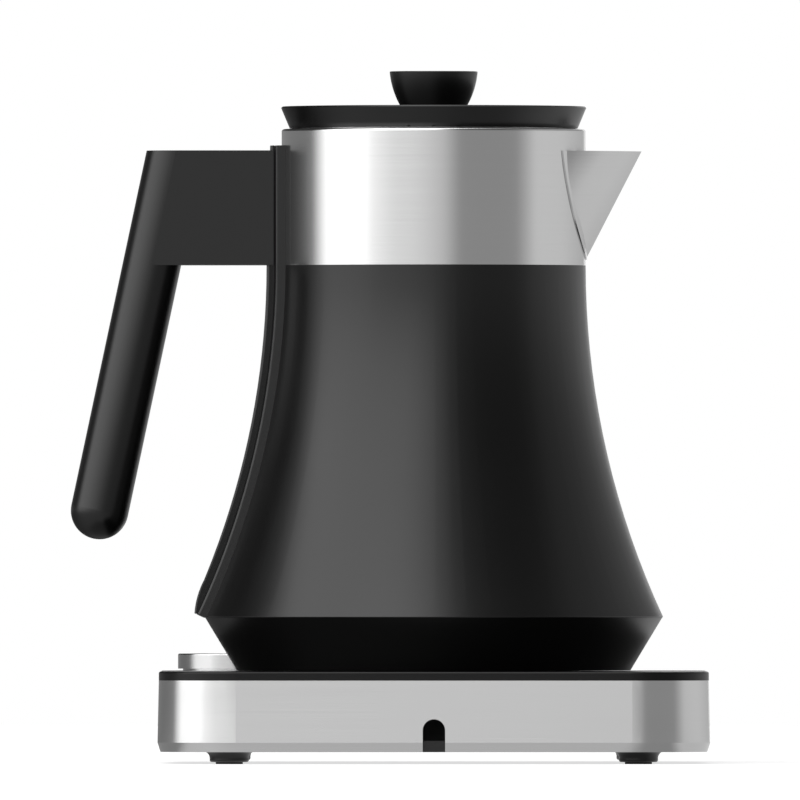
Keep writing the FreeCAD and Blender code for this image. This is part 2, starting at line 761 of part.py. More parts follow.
# Base half of the round connector, with a hole for the earth pin and a groove for each ring
inner_in = "ring_inner_radius - groove_gap"
inner_out = "ring_inner_radius + ring_wall + groove_gap"
outer_in = "ring_outer_radius - groove_gap"
outer_out = "ring_outer_radius + ring_wall + groove_gap"
groove_floor = "plug_top - groove_depth"
plug_outline = [
    ("0", "plug_bottom"),
    ("plug_flange_radius", "plug_bottom"),
    ("plug_flange_radius", "band_top"),
    ("plug_radius", "band_top"),
    ("plug_radius", "plug_top - plug_chamfer"),
    ("plug_radius - plug_chamfer", "plug_top"),
    (outer_out, "plug_top"),
    (outer_out, groove_floor),
    (outer_in, groove_floor),
    (outer_in, "plug_top"),
    (inner_out, "plug_top"),
    (inner_out, groove_floor),
    (inner_in, groove_floor),
    (inner_in, "plug_top"),
    ("pin_radius + groove_gap", "plug_top"),
    ("pin_radius + groove_gap", "plug_top - pin_length - pin_room"),
    ("0", "plug_top - pin_length - pin_room"),
]
contact_list = []
contact_spots = []
for label, reach in (("earth", "pin_radius + groove_gap"), ("inner", inner_out), ("outer", outer_out)):
    x = f"-({reach} - contact_wall / 2 - contact_gap)"
    contact_spots.append(x)
    contact_list.append(block(f"contact_{label}", "contact_wall", "contact_width",
                              "plug_top - contact_drop - contact_bottom", x, z="contact_bottom"))
    plug_holes.append(block(f"contact_slot_{label}", "contact_wall + 2 * contact_slot_gap",
                            "contact_width + 2 * contact_slot_gap",
                            f"{groove_floor} - contact_bottom + over_cut", x, z="contact_bottom"))
node("base_connector", cut("base_connector", turned("plug_form", plug_outline), *plug_holes))
node("base_contacts", group("base_contacts", contact_list))

# Wires in the base: two from the terminal block to the board, one to the earth contact, and two from
# the board to the connector's ring contacts


def wire(name, x, start, first_role, corners):
    """A round wire in a plane of constant x: a start place, the plane it starts on, and its (y, z) way."""
    body = doc.addObject("PartDesign::Body", name)
    way = outline(flat_sketch(body, name + "_way", "YZ_Plane", x), corners, closed=False)
    end = flat_sketch(body, name + "_end", first_role, start[2])
    end.addGeometry(Part.Circle(FreeCAD.Vector(amount(start[0]), amount(start[1]), 0),
                                FreeCAD.Vector(0, 0, 1), amount("wire_radius")), False)
    for kind, words in (("DistanceX", start[0]), ("DistanceY", start[1])):
        rule = end.addConstraint(Sketcher.Constraint(kind, -1, 1, 0, 3, amount(words)))
        end.setExpression(f"Constraints[{rule}]", sized(words))
    rule = end.addConstraint(Sketcher.Constraint("Radius", 0, amount("wire_radius")))
    end.setExpression(f"Constraints[{rule}]", sized("wire_radius"))
    pipe = body.newObject("PartDesign::AdditivePipe", name + "_pipe")
    pipe.Profile = end
    pipe.Spine = way
    return body


wire_list = []
for index in (1, 2):
    x = f"{index} * wire_spacing"
    wire_list.append(wire(f"mains_wire_{index}", x, (x, "wire_low", "-(terminal_front)"), "XZ_Plane", [
        ("terminal_front", "wire_low"),
        ("wire_end - wire_bend", "wire_low", "wire_bend", 1),
        ("wire_end", "wire_low + wire_bend"),
        ("wire_end", "board_bottom"),
    ]))
wire_list.append(wire("earth_wire", contact_spots[0],
                      (contact_spots[0], "wire_low", "-(terminal_front)"), "XZ_Plane", [
    ("terminal_front", "wire_low"),
    ("-wire_bend", "wire_low", "wire_bend", 1),
    ("0", "wire_low + wire_bend"),
    ("0", "contact_bottom"),
]))
for index, x in enumerate(contact_spots[1:], 1):
    wire_list.append(wire(f"contact_wire_{index}", x, (x, "0", "contact_bottom"), "XY_Plane", [
        ("0", "contact_bottom"),
        ("0", "wire_high + wire_bend", "wire_bend", 1),
        ("wire_bend", "wire_high"),
        ("wire_end - wire_bend", "wire_high", "wire_bend", 1),
        ("wire_end", "wire_high + wire_bend"),
        ("wire_end", "board_bottom"),
    ]))
node("base_wires", group("base_wires", wire_list))

# Jug half of the round connector
socket_outline = [
    ("pin_radius + thread_gap", "socket_roof"),
    ("socket_radius", "socket_roof"),
    ("socket_radius", "jug_bottom + seat_gap"),
    ("socket_outer", "jug_bottom + seat_gap"),
    ("socket_outer", "flange_bottom"),
    ("socket_flange", "flange_bottom"),
    ("socket_flange", "flange_top"),
    ("socket_outer", "flange_top"),
    ("socket_outer", "socket_roof + socket_top_wall"),
    ("pin_radius + thread_gap", "socket_roof + socket_top_wall"),
]
node("jug_connector", turned("jug_connector", socket_outline))
node("earth_pin", cylinder("earth_pin", "pin_radius", "pin_length + socket_top_wall + pin_stub",
                           z="socket_roof - pin_length"))
for label, radius in (("inner_ring", "ring_inner_radius"), ("outer_ring", "ring_outer_radius")):
    node(label, turned(label, [
        (radius, "socket_roof - ring_length"),
        (f"{radius} + ring_wall", "socket_roof - ring_length"),
        (f"{radius} + ring_wall", "socket_roof"),
        (radius, "socket_roof"),
    ]))

# Jug: steel collar with an inward rim above and a ledge below
collar_outline = [
    ("vessel_inner", "collar_bottom"),
    ("collar_radius", "collar_bottom"),
    ("collar_radius", "collar_top - collar_round", "collar_round", 1),
    ("collar_radius - collar_round", "collar_top"),
    ("mouth_radius", "collar_top"),
    ("mouth_radius", "collar_top - collar_wall"),
    ("collar_radius - collar_wall", "collar_top - collar_wall"),
    ("collar_radius - collar_wall", "collar_bottom + collar_wall"),
    ("vessel_inner", "collar_bottom + collar_wall"),
]


def beak(name, grow):
    """The spout's form swelled by an amount, lofted through three level sections from the top down."""
    body = doc.addObject("PartDesign::Body", name)
    levels = [
        ("spout_top", "spout_half_width", "spout_reach"),
        ("spout_top - spout_height / 2", "spout_half_width * spout_middle_share",
         "(spout_reach + collar_radius + spout_foot_proud) / 2"),
        ("spout_foot", "spout_half_width * spout_foot_share", "collar_radius + spout_foot_proud"),
    ]
    sections = []
    for index, (height, half, tip) in enumerate(levels, 1):
        wide = f"({half} + ({grow}))"
        root = f"sqrt(collar_radius ^ 2 - {wide} ^ 2)"
        point = f"{tip} + ({grow})"
        sections.append(outline(flat_sketch(body, f"{name}_section_{index}", "XY_Plane", height), [
            (f"{root} - spout_root", f"-{wide}"),
            (root, f"-{wide}", "spout_bulge_radius", 1),
            (point, "0", "spout_bulge_radius", 1),
            (root, wide),
            (f"{root} - spout_root", wide),
        ]))
    loft = body.newObject("PartDesign::AdditiveLoft", name + "_loft")
    loft.Profile = sections[0]
    loft.Sections = sections[1:]
    loft.Ruled = False
    return body


collar_core = cylinder("collar_core", "collar_radius", "collar_height", z="collar_bottom")
flange_outer = cylinder("flange_outer", "collar_radius + flange_wall", "spout_top - collar_bottom",
                        z="collar_bottom")
flange_tube = cut("flange_tube", flange_outer, collar_core)
flange_edge = doc.addObject("Part::Ellipse", "flange_edge")
flange_edge.Placement = FreeCAD.Placement(FreeCAD.Vector(), FreeCAD.Rotation(FreeCAD.Vector(0, 1, 0), -90))
bind(flange_edge, MajorRadius="flange_half_height", MinorRadius="flange_half_width")
place(flange_edge, z="spout_foot - flange_drop + flange_half_height")
flange_form = doc.addObject("Part::Extrusion", "flange_form")
flange_form.Base = flange_edge
flange_form.DirMode = "Custom"
flange_form.Dir = FreeCAD.Vector(1, 0, 0)
flange_form.Solid = True
bind(flange_form, LengthFwd="spout_reach")
spout_channel = beak("spout_channel", "-spout_wall")
spout_beak = cut("spout_beak", beak("spout_form", "0"), collar_core)
spout_flange = common("spout_flange", flange_form, flange_tube)
node("spout", cut("spout", fuse("spout_body", spout_beak, spout_flange), spout_channel))
node("steel_collar", cut("steel_collar", turned("collar_form", collar_outline), spout_channel))

# Jug: outer shell, inner vessel and bottom cup
shell_inner = "-shell_wall"
shell_outline = [
    ("rim_radius - rim_round", "rim", "rim_round", 1),
    (flare_x("0", "rim + rim_round"), "rim + rim_round", "flare_radius", -1),
    ("collar_radius", "collar_bottom"),
    ("collar_radius - shell_wall", "collar_bottom", "flare_radius + shell_wall", 1),
    (flare_x(shell_inner, "rim"), "rim"),
]
vessel_outline = [
    ("sensor_radius + thread_gap", "vessel_floor"),
    (flare_x("-vessel_inset", "vessel_floor"), "vessel_floor", "flare_radius + vessel_inset", -1),
    ("collar_radius - vessel_inset", "collar_bottom"),
    ("vessel_inner", "collar_bottom", "flare_radius + vessel_inset + vessel_wall", 1),
    (flare_x("-vessel_inset - vessel_wall", "vessel_floor + vessel_wall"), "vessel_floor + vessel_wall"),
    ("sensor_radius + thread_gap", "vessel_floor + vessel_wall"),
]
cup_inset = "-shell_wall - fit_gap"
cup_outline = [
    ("socket_outer + swivel_gap", "jug_bottom"),
    ("cup_radius", "jug_bottom"),
    ("rim_radius - rim_step", "rim"),
    (flare_x(cup_inset, "rim"), "rim"),
    (flare_x(cup_inset, "rim + cup_lip"), "rim + cup_lip"),
    (flare_x(cup_inset, "rim + cup_lip") + " - cup_wall", "rim + cup_lip"),
    (flare_x(cup_inset, "rim") + " - cup_wall", "rim - cup_wall"),
    ("cup_radius - cup_wall", "cup_top"),
    ("socket_outer + swivel_gap", "cup_top"),
]
node("inner_vessel", turned("inner_vessel", vessel_outline))
cup_parts = [turned("cup_form", cup_outline)]
cup_holes = []
cup_screw_list = []
plate_holes = [cylinder("plate_sensor_hole", "sensor_radius + thread_gap", "plate_thickness + 2 * over_cut",
                        z="plate_bottom - over_cut")]
for index, (x, y) in enumerate(around(3, "cup_post_ring"), 1):
    cup_parts.append(cylinder(f"cup_post_{index}", "cup_post_radius",
                              "plate_bottom - cup_top + cup_floor / 2", x, y, "cup_top - cup_floor / 2"))
    cup_holes.append(cylinder(f"cup_hole_{index}", "screw_radius + screw_gap",
                              "plate_bottom - jug_bottom + 2 * over_cut", x, y, "jug_bottom - over_cut"))
    cup_holes.append(cylinder(f"cup_head_{index}", "screw_head_radius + screw_gap",
                              "cup_seat - jug_bottom + over_cut", x, y, "jug_bottom - over_cut"))
    plate_holes.append(cylinder(f"plate_thread_{index}", "screw_radius + thread_gap",
                                "plate_bite + pilot_room + over_cut", x, y, "plate_bottom - over_cut"))
    cup_screw_list.append(screw(f"cup_screw_{index}", "plate_bottom + plate_bite - cup_seat", x, y,
                                "cup_seat"))
retainer_holes = [cylinder("retainer_opening", "socket_outer + swivel_gap", "retainer_height + 2 * over_cut",
                           z="retainer_bottom - over_cut")]
retainer_screw_list = []
for index, (x, y) in enumerate(around(3, "retainer_post_ring"), 1):
    cup_parts.append(cylinder(f"retainer_post_{index}", "retainer_post_radius",
                              "retainer_bottom - cup_top + cup_floor / 2", x, y, "cup_top - cup_floor / 2"))
    cup_holes.append(cylinder(f"retainer_pilot_{index}", "screw_radius + thread_gap",
                              "retainer_bite + pilot_room + over_cut", x, y,
                              "retainer_bottom - retainer_bite - pilot_room"))
    retainer_holes.append(cylinder(f"retainer_hole_{index}", "screw_radius + screw_gap",
                                   "retainer_height + 2 * over_cut", x, y, "retainer_bottom - over_cut"))
    retainer_screw_list.append(screw(f"retainer_screw_{index}", "retainer_height + retainer_bite", x, y,
                                     "retainer_top", flip=True))
node("bottom_cup", cut("bottom_cup", fuse("cup_body", *cup_parts), *cup_holes))
node("cup_screws", group("cup_screws", cup_screw_list))
retainer_disc = cylinder("retainer_disc", "retainer_post_ring + retainer_post_radius + retainer_margin",
                         "retainer_height", z="retainer_bottom")
node("connector_retainer", cut("connector_retainer", retainer_disc, *retainer_holes))
node("retainer_screws", group("retainer_screws", retainer_screw_list))

# Heater under the vessel floor, temperature sensor and boil-dry cutout
plate_disc = cylinder("plate_disc", "plate_radius", "plate_thickness", z="plate_bottom")
node("heating_plate", cut("heating_plate", plate_disc, *plate_holes))
element_arc = doc.addObject("Part::Torus", "element_arc")
bind(element_arc, Radius1="element_ring", Radius2="element_radius", Angle3="element_sweep")
place(element_arc, z="element_z")
sweep_cos = "cos(element_sweep * 1 deg)"
sweep_sin = "sin(element_sweep * 1 deg)"
tail_spots = [
    ("element_ring", "element_tail_inset"),
    (f"element_ring * {sweep_cos} + element_tail_inset * {sweep_sin}",
     f"element_ring * {sweep_sin} - element_tail_inset * {sweep_cos}"),
]
element_tails = [cylinder(f"element_tail_{index}", "element_tail_radius", "element_tail", x, y,
                          "element_z - element_tail") for index, (x, y) in enumerate(tail_spots, 1)]
node("heating_element", fuse("heating_element", element_arc, *element_tails))
sensor_outline = [
    ("0", "seal_bottom - sensor_flange_height"),
    ("sensor_flange_radius", "seal_bottom - sensor_flange_height"),
    ("sensor_flange_radius", "seal_bottom"),
    ("sensor_radius", "seal_bottom"),
    ("sensor_radius", "vessel_floor + sensor_rise - sensor_radius", "sensor_radius", 1),
    ("0", "vessel_floor + sensor_rise"),
]
node("ntc_sensor", turned("ntc_sensor", sensor_outline))
node("sensor_seal", turned("sensor_seal", [
    ("sensor_radius + thread_gap", "seal_bottom"),
    ("sensor_flange_radius - seal_inset", "seal_bottom"),
    ("sensor_flange_radius - seal_inset", "plate_bottom"),
    ("sensor_radius + thread_gap", "plate_bottom"),
]))
node("boil_dry_cutout", cylinder("boil_dry_cutout", "cutout_radius", "cutout_height", "-cutout_offset",
                                 z="plate_bottom - cutout_height"))

# Handle spine on the jug's side with its long outer edges rounded, its crowned cover strip, and the
# stick handle


def girth(name, offset):
    """Everything inside the jug's side moved outwards by an offset, between the rim and the spine's top."""
    return turned(name, [
        ("0", "rim"),
        ("rim_radius", "rim"),
        (f"rim_radius + ({offset}) * rim_out_x", f"rim + ({offset}) * rim_out_z",
         f"flare_radius - ({offset})", -1),
        (f"collar_radius + ({offset})", "collar_bottom"),
        (f"collar_radius + ({offset})", "spine_top"),
        ("0", "spine_top"),
    ])


jug_core = cylinder("jug_core_upper", "collar_radius", "spine_top - collar_bottom + over_cut",
                    z="collar_bottom")
jug_side = turned("jug_core_lower", [
    ("0", "rim - over_cut"),
    ("rim_radius", "rim - over_cut"),
    ("rim_radius", "rim", "flare_radius", -1),
    ("collar_radius", "collar_bottom"),
    ("0", "collar_bottom"),
])
spine_slab = block("spine_slab", "2 * rim_radius", "2 * spine_half_width", "collar_top", "-rim_radius")
spine_form = girth("spine_form", "spine_proud")
spine_bar = cut("spine_bar", common("spine_strip", spine_form, spine_slab), jug_core, jug_side)
doc.recompute()
jug_wall = jug_core.Shape.fuse(jug_side.Shape)
side_edges = []
for number, edge in enumerate(spine_bar.Shape.Edges, 1):
    middle = Part.Vertex(edge.valueAt((edge.FirstParameter + edge.LastParameter) / 2))
    along_side = all(math.isclose(abs(spot.Y), amount("spine_half_width")) for spot in edge.Vertexes)
    if along_side and middle.distToShape(jug_wall)[0] > 0.75 * amount("spine_proud"):
        side_edges.append(number)
spine_rounded = doc.addObject("Part::Fillet", "spine_rounded")
spine_rounded.Base = spine_bar
spine_rounded.Edges = [(number, amount("spine_round"), amount("spine_round")) for number in side_edges]
end_x = "rim_radius + cover_end_proud * rim_out_x"
end_z = "rim + cover_end_proud * rim_out_z"
bend_z = "rim + cover_end_height"
crown = turned("cover_crown", [
    ("0", "rim"),
    ("rim_radius - cover_crown_shift", "rim"),
    (f"{end_x} - cover_crown_shift", end_z, "cover_end_round", 1),
    (flare_x("cover_proud", bend_z) + " - cover_crown_shift", bend_z, "flare_radius - cover_proud", -1),
    ("collar_radius + cover_proud - cover_crown_shift", "collar_bottom"),
    ("collar_radius + cover_top_proud - cover_crown_shift", "spine_top"),
    ("0", "spine_top"),
])
place(crown, "-cover_crown_shift")
cover_slab = block("cover_slab", "2 * rim_radius", "2 * cover_half_width", "collar_top", "-rim_radius")
cover_bar = cut("cover_bar", common("cover_strip", crown, cover_slab), spine_form)

grip_long = "(arm_top - grip_end) / cos(grip_tilt * 1 deg) + 2 * grip_radius"


def leaning(body):
    """Stands a body on the grip's rounded end and leans it by the grip's tilt."""
    body.Placement = FreeCAD.Placement(FreeCAD.Vector(), FreeCAD.Rotation(FreeCAD.Vector(0, 1, 0), 1))
    body.setExpression("Placement.Rotation.Angle", sized("grip_tilt"))
    return place(body, "-grip_end_out", "0", "grip_end")


grip_bar = leaning(turned("grip_bar", [
    ("0", "-grip_radius", "grip_radius", 1),
    ("grip_radius", "0"),
    ("grip_radius", grip_long),
    ("0", grip_long),
]))
arm_bar = leaning(plate("arm_bar", [
    ("0", "-grip_radius"),
    ("grip_end_out", "-grip_radius"),
    ("grip_end_out", "grip_radius"),
    ("0", "grip_radius", "grip_radius", 1),
    ("-grip_radius", "0", "grip_radius", 1),
], "0", grip_long))
room = "4 * grip_end_out"
grip_lower = common("grip_lower", grip_bar, block("below_arm", room, room, "arm_bottom"))
arm_upper = common("arm_upper", arm_bar, block("arm_level", room, room, "arm_height", z="arm_bottom"))
arm_stop = girth("arm_stop", "spine_proud + arm_groove")
handle_form = fuse("handle_form", grip_lower, arm_upper)

spine_holes = []
cover_holes = []
arm_holes = [arm_stop, cover_bar]
handle_screw_list = []
head_seat = "-collar_radius - screw_head_height - spine_head_sink"
for index, z in enumerate(("arm_bottom + arm_screw_inset", "arm_top - arm_screw_inset"), 1):
    spine_holes.append(cylinder(f"spine_head_{index}", "screw_head_radius + screw_gap",
                                "screw_head_height + spine_head_sink + over_cut", head_seat, z=z, along="X"))
    for label, holes, gap in (("spine", spine_holes, "screw_gap"), ("cover", cover_holes, "screw_gap"),
                              ("arm", arm_holes, "thread_gap")):
        holes.append(cylinder(f"{label}_hole_{index}", f"screw_radius + {gap}",
                              "arm_screw_depth + pilot_room + over_cut",
                              f"{head_seat} - arm_screw_depth - pilot_room", z=z, along="X"))
    handle_screw_list.append(screw(f"handle_screw_{index}", "arm_screw_depth", head_seat, "0", z, "X",
                                   flip=True))
spine_screw_list = []
shell_holes = []
for index, drop in enumerate(("spine_screw_high_drop", "spine_screw_low_drop"), 1):
    z = f"collar_bottom - {drop}"
    seat = "-(" + flare_x("-shell_wall / 2", z) + ")"
    shell_holes.append(cylinder(f"shell_head_{index}", "screw_head_radius + screw_gap",
                                "screw_head_height + shell_wall", seat, z=z, along="X"))
    shell_holes.append(cylinder(f"shell_hole_{index}", "screw_radius + screw_gap", "3 * shell_wall",
                                f"{seat} - 2 * shell_wall", z=z, along="X"))
    spine_holes.append(cylinder(f"spine_pilot_{index}", "screw_radius + thread_gap",
                                "spine_screw_length + pilot_room",
                                f"{seat} - spine_screw_length - pilot_room", z=z, along="X"))
    spine_screw_list.append(screw(f"spine_screw_{index}", "spine_screw_length", seat, "0", z, "X", flip=True))
node("outer_shell", cut("outer_shell", turned("shell_form", shell_outline), *shell_holes))
node("handle_spine", cut("handle_spine", spine_rounded, *spine_holes))
node("spine_cover", cut("spine_cover", cover_bar, *cover_holes))
node("handle", cut("handle", handle_form, *arm_holes))
node("handle_screws", group("handle_screws", handle_screw_list))
node("spine_screws", group("spine_screws", spine_screw_list))

# Lid: tapered cap with steam notches, dished plug, gasket, knob and its screw
lid_outline = [
    ("lid_cavity", "lid_bottom"),
    ("lid_bottom_radius", "lid_bottom"),
    ("lid_top_radius", "lid_top - lid_chamfer"),
    ("lid_top_radius - lid_chamfer", "lid_top"),
    ("screw_radius + screw_gap", "lid_top"),
    ("screw_radius + screw_gap", "lid_top - lid_wall"),
    ("lid_cavity", "lid_top - lid_wall"),
]
vents = [cylinder(f"vent_{side + 2}", "vent_radius", "lid_top_radius", f"{side} * vent_spacing",
                  "-lid_top_radius - over_cut", "lid_bottom", along="Y") for side in (-1, 0, 1)]
vent_stop = cylinder("vent_stop", "lid_cavity + vent_wall", "4 * vent_radius",
                     z="lid_bottom - 2 * vent_radius")
vent_slots = cut("vent_slots", fuse("vent_rods", *vents), vent_stop)
node("lid_cap", cut("lid_cap", turned("lid_form", lid_outline), vent_slots))
node("lid_plug", turned("lid_plug", [
    ("0", "lid_bottom - lid_plug_depth"),
    ("lid_plug_radius", "lid_bottom - lid_plug_depth"),
    ("lid_plug_radius", "lid_top - lid_wall - lid_plug_gap"),
    ("lid_plug_radius - lid_plug_wall", "lid_top - lid_wall - lid_plug_gap"),
    ("lid_plug_radius - lid_plug_wall", "lid_bottom - lid_plug_depth + lid_plug_wall"),
    ("0", "lid_bottom - lid_plug_depth + lid_plug_wall"),
]))
node("lid_gasket", turned("lid_gasket", [
    ("lid_plug_radius + thread_gap", "gasket_top - gasket_height"),
    ("mouth_radius - gasket_gap - gasket_lip", "gasket_top - gasket_height"),
    ("mouth_radius - gasket_gap", "gasket_top - gasket_height / 2"),
    ("mouth_radius - gasket_gap - gasket_lip", "gasket_top"),
    ("lid_plug_radius + thread_gap", "gasket_top"),
]))
node("lid_knob", turned("lid_knob", [
    ("screw_radius + thread_gap", "lid_top"),
    ("knob_bottom_radius", "lid_top", "knob_side_round", 1),
    ("knob_top_radius", "knob_top - knob_chamfer"),
    ("knob_top_radius - knob_chamfer", "knob_top"),
    ("0", "knob_top"),
    ("0", "lid_top + knob_screw_depth"),
    ("screw_radius + thread_gap", "lid_top + knob_screw_depth"),
]))
node("lid_screw", screw("lid_screw", "lid_wall + knob_screw_depth - pilot_room", "0", "0",
                        "lid_top - lid_wall"))

# Check every object, then write each sub-part
doc.recompute()
for item in doc.Objects:
    if "Invalid" in item.State or "Error" in item.State:
        raise RuntimeError(f"{item.Label} did not build: {item.State}")
for item in nodes:
    if item.Shape.isNull() or not item.Shape.isValid() or item.Shape.Volume <= 0:
        raise RuntimeError(f"{item.Label} has no valid shape")
os.makedirs("parts", exist_ok=True)
for item in nodes:
    item.Shape.exportStep(f"parts/{item.Label}.step")
print(len(nodes), "sub-parts written")
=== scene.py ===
# %% [markdown]
# An electric kettle, dressed for its portrait.
#
# The construction already exists: every piece was modelled at its real size and packed as a frame.
# This lesson gives each piece its finish, makes the screws, the ribbed feet and the collar's rolled rim,
# and builds a small photographic studio. We start by loading the frame and keeping its box, because looks
# never change size.

# %% load the frame
import math

import bmesh
import bpy
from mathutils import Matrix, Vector


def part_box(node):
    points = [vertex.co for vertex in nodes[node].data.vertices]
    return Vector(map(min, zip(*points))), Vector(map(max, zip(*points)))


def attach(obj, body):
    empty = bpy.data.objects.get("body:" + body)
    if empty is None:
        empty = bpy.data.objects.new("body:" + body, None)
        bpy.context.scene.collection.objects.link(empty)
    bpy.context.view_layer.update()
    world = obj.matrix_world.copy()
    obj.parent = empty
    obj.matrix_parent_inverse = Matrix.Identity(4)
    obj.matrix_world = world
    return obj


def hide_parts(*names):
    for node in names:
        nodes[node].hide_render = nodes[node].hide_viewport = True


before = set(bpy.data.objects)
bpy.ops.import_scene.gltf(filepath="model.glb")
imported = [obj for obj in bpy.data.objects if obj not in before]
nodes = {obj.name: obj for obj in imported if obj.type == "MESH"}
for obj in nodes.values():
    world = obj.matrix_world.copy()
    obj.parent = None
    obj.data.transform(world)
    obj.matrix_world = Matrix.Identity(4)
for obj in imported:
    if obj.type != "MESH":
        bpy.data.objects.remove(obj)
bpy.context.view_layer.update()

MM = 0.001

# %% [markdown]
# The camera. A product portrait like this one is taken from far away with a very long lens, level with
# the object, so that circles seen from the side become straight lines. An orthographic camera would do
# that exactly, but it would also crop every other view, so a long lens from far off is the better choice.

# %% camera
lens_length = 1690.0
film_width = 36.0
frame_width = 290.5 * MM
sharp_plane = -22.0 * MM
look_at = Vector((-12.25 * MM, sharp_plane, 131.9 * MM))
eye_height = 75.0 * MM

camera_data = bpy.data.cameras.new("portrait_lens")
camera_data.lens = lens_length
camera_data.sensor_width = film_width
camera_data.clip_start = 0.1
camera_data.clip_end = 100.0
camera = bpy.data.objects.new("portrait_camera", camera_data)
distance = frame_width * lens_length / film_width
camera.location = (look_at.x, sharp_plane - distance, eye_height)
camera.rotation_euler = (look_at - camera.location).to_track_quat("-Z", "Y").to_euler()
bpy.context.collection.objects.link(camera)
bpy.context.scene.camera = camera
bpy.context.scene.view_settings.view_transform = "Standard"
print("camera stands", round(distance, 2), "m away")

# %% [markdown]
# The studio. Polished metal shows nothing of its own, only the room round it, so the room is the picture.
# It could be built from lamps and cards, but a kettle is round and mostly the compass direction matters:
# a world whose brightness changes with direction gives the same walls with no clutter. A soft box hangs
# on the left and reaches round to the front above eye level, a dark screen stands on the right and the
# end behind the left is dark. So there are two lists of panels, one for the low walls and one for the
# high ones: each panel is a compass direction in degrees and a brightness.

# %% studio panels
soft_box = 2.8
backdrop = 1.0
backdrop_from = 162.0
low_panels = [
    (-180.0, 0.28),
    (-106.0, 0.3),
    (-89.0, 2.0),
    (-54.0, 2.0),
    (-46.0, 1.4),
    (-30.0, 0.9),
    (-13.0, 0.77),
    (4.0, 0.79),
    (9.0, 0.79),
    (20.0, 0.43),
    (66.0, 0.43),
    (84.0, 0.93),
    (115.0, 0.85),
    (backdrop_from, 0.5),
    (180.0, backdrop),
]
high_panels = [
    (-180.0, 0.03),
    (-104.0, 0.05),
    (-92.0, soft_box),
    (-14.0, soft_box),
    (0.0, 1.6),
    (12.0, 0.4),
    (22.0, 0.13),
    (70.0, 0.13),
    (86.0, 0.38),
    (130.0, 0.4),
    (backdrop_from, 0.32),
    (180.0, backdrop),
]
print("studio has", len(low_panels), "low panels and", len(high_panels), "high ones")

# %% [markdown]
# From a direction to a wall. The world's shader gets the direction of each ray as a vector. Its two level
# parts give the compass direction, and a colour ramp over the compass lays the panels out as a ring. A
# panorama of a real studio would do the same, but here every panel stays a number that we can change.

# %% rings of walls
def sum_up(tree, operation, first, second):
    """One step of arithmetic on sockets or numbers."""
    step = tree.nodes.new("ShaderNodeMath")
    step.operation = operation
    for socket, value in zip(step.inputs, (first, second)):
        if isinstance(value, float):
            socket.default_value = value
        else:
            tree.links.new(value, socket)
    return step.outputs["Value"]


def split(tree, vector):
    """The three parts of a vector."""
    parts = tree.nodes.new("ShaderNodeSeparateXYZ")
    tree.links.new(vector, parts.inputs["Vector"])
    return parts.outputs["X"], parts.outputs["Y"], parts.outputs["Z"]


def compass_of(tree, x, y):
    """The compass direction in radians: nought towards the camera, positive to its right."""
    return sum_up(tree, "ARCTAN2", x, sum_up(tree, "MULTIPLY", y, -1.0))


def grey(level):
    """A neutral colour."""
    return (level, level, level)


def shades(tree, pattern, *stops, steps=False):
    """A pattern turned into colour: each stop is a position and a red, green, blue colour."""
    ramp = tree.nodes.new("ShaderNodeValToRGB")
    if steps:
        ramp.color_ramp.interpolation = "CONSTANT"
    elements = ramp.color_ramp.elements
    while len(elements) < len(stops):
        elements.new(1.0)
    for element, (position, colour) in zip(elements, stops):
        element.position = position
        element.color = (*colour, 1.0)
    tree.links.new(pattern, ramp.inputs["Fac"])
    return ramp.outputs["Color"]


def ring_of(tree, compass, panels):
    """A ring of walls round the kettle: each panel is a compass direction and its brightness."""
    turn = tree.nodes.new("ShaderNodeMapRange")
    turn.inputs["From Min"].default_value = -math.pi
    turn.inputs["From Max"].default_value = math.pi
    tree.links.new(compass, turn.inputs["Value"])
    stops = [((degrees + 180.0) / 360.0, grey(level / soft_box)) for degrees, level in panels]
    return shades(tree, turn.outputs["Result"], *stops)


world = bpy.data.worlds.new("studio")
bpy.context.scene.world = world
world.use_nodes = True
tree = world.node_tree
tree.nodes.clear()
direction = tree.nodes.new("ShaderNodeTexCoord")
across, away, upward = split(tree, direction.outputs["Generated"])
compass = compass_of(tree, across, away)
low_walls = ring_of(tree, compass, low_panels)
high_walls = ring_of(tree, compass, high_panels)
print("rings of walls take", len(tree.nodes), "nodes")

# %% [markdown]
# From walls to a room. As the view rises, the low walls pass over into the high ones and those into the
# ceiling. A hard step would be simpler, but it would draw a line on every curved piece that mirrors it.

# %% lit room
overhead_level = 1.2
low_walls_to = 2.0
high_walls_from = 12.0
high_walls_to = 55.0
ceiling_from = 75.0


def pass_over(tree, amount, start, end, first, second):
    """One colour that passes over into another while an amount goes from start to end."""
    share = tree.nodes.new("ShaderNodeMapRange")
    share.interpolation_type = "SMOOTHSTEP"
    share.inputs["From Min"].default_value = start
    share.inputs["From Max"].default_value = end
    tree.links.new(amount, share.inputs["Value"])
    blend = tree.nodes.new("ShaderNodeMix")
    blend.data_type = "RGBA"
    tree.links.new(share.outputs["Result"], blend.inputs["Factor"])
    for socket, colour in ((blend.inputs["A"], first), (blend.inputs["B"], second)):
        if isinstance(colour, tuple):
            socket.default_value = (*colour, 1.0)
        else:
            tree.links.new(colour, socket)
    return blend.outputs["Result"]


def sine(degrees):
    """How high a view at this rise looks, as a part of one."""
    return math.sin(math.radians(degrees))


ceiling = grey(overhead_level / soft_box)
walls = pass_over(tree, upward, sine(low_walls_to), sine(high_walls_from), low_walls, high_walls)
room = pass_over(tree, upward, sine(high_walls_to), sine(ceiling_from), walls, ceiling)
lit_room = tree.nodes.new("ShaderNodeBackground")
lit_room.inputs["Strength"].default_value = soft_box
tree.links.new(room, lit_room.inputs["Color"])
print("ceiling starts at", high_walls_to, "degrees of rise")

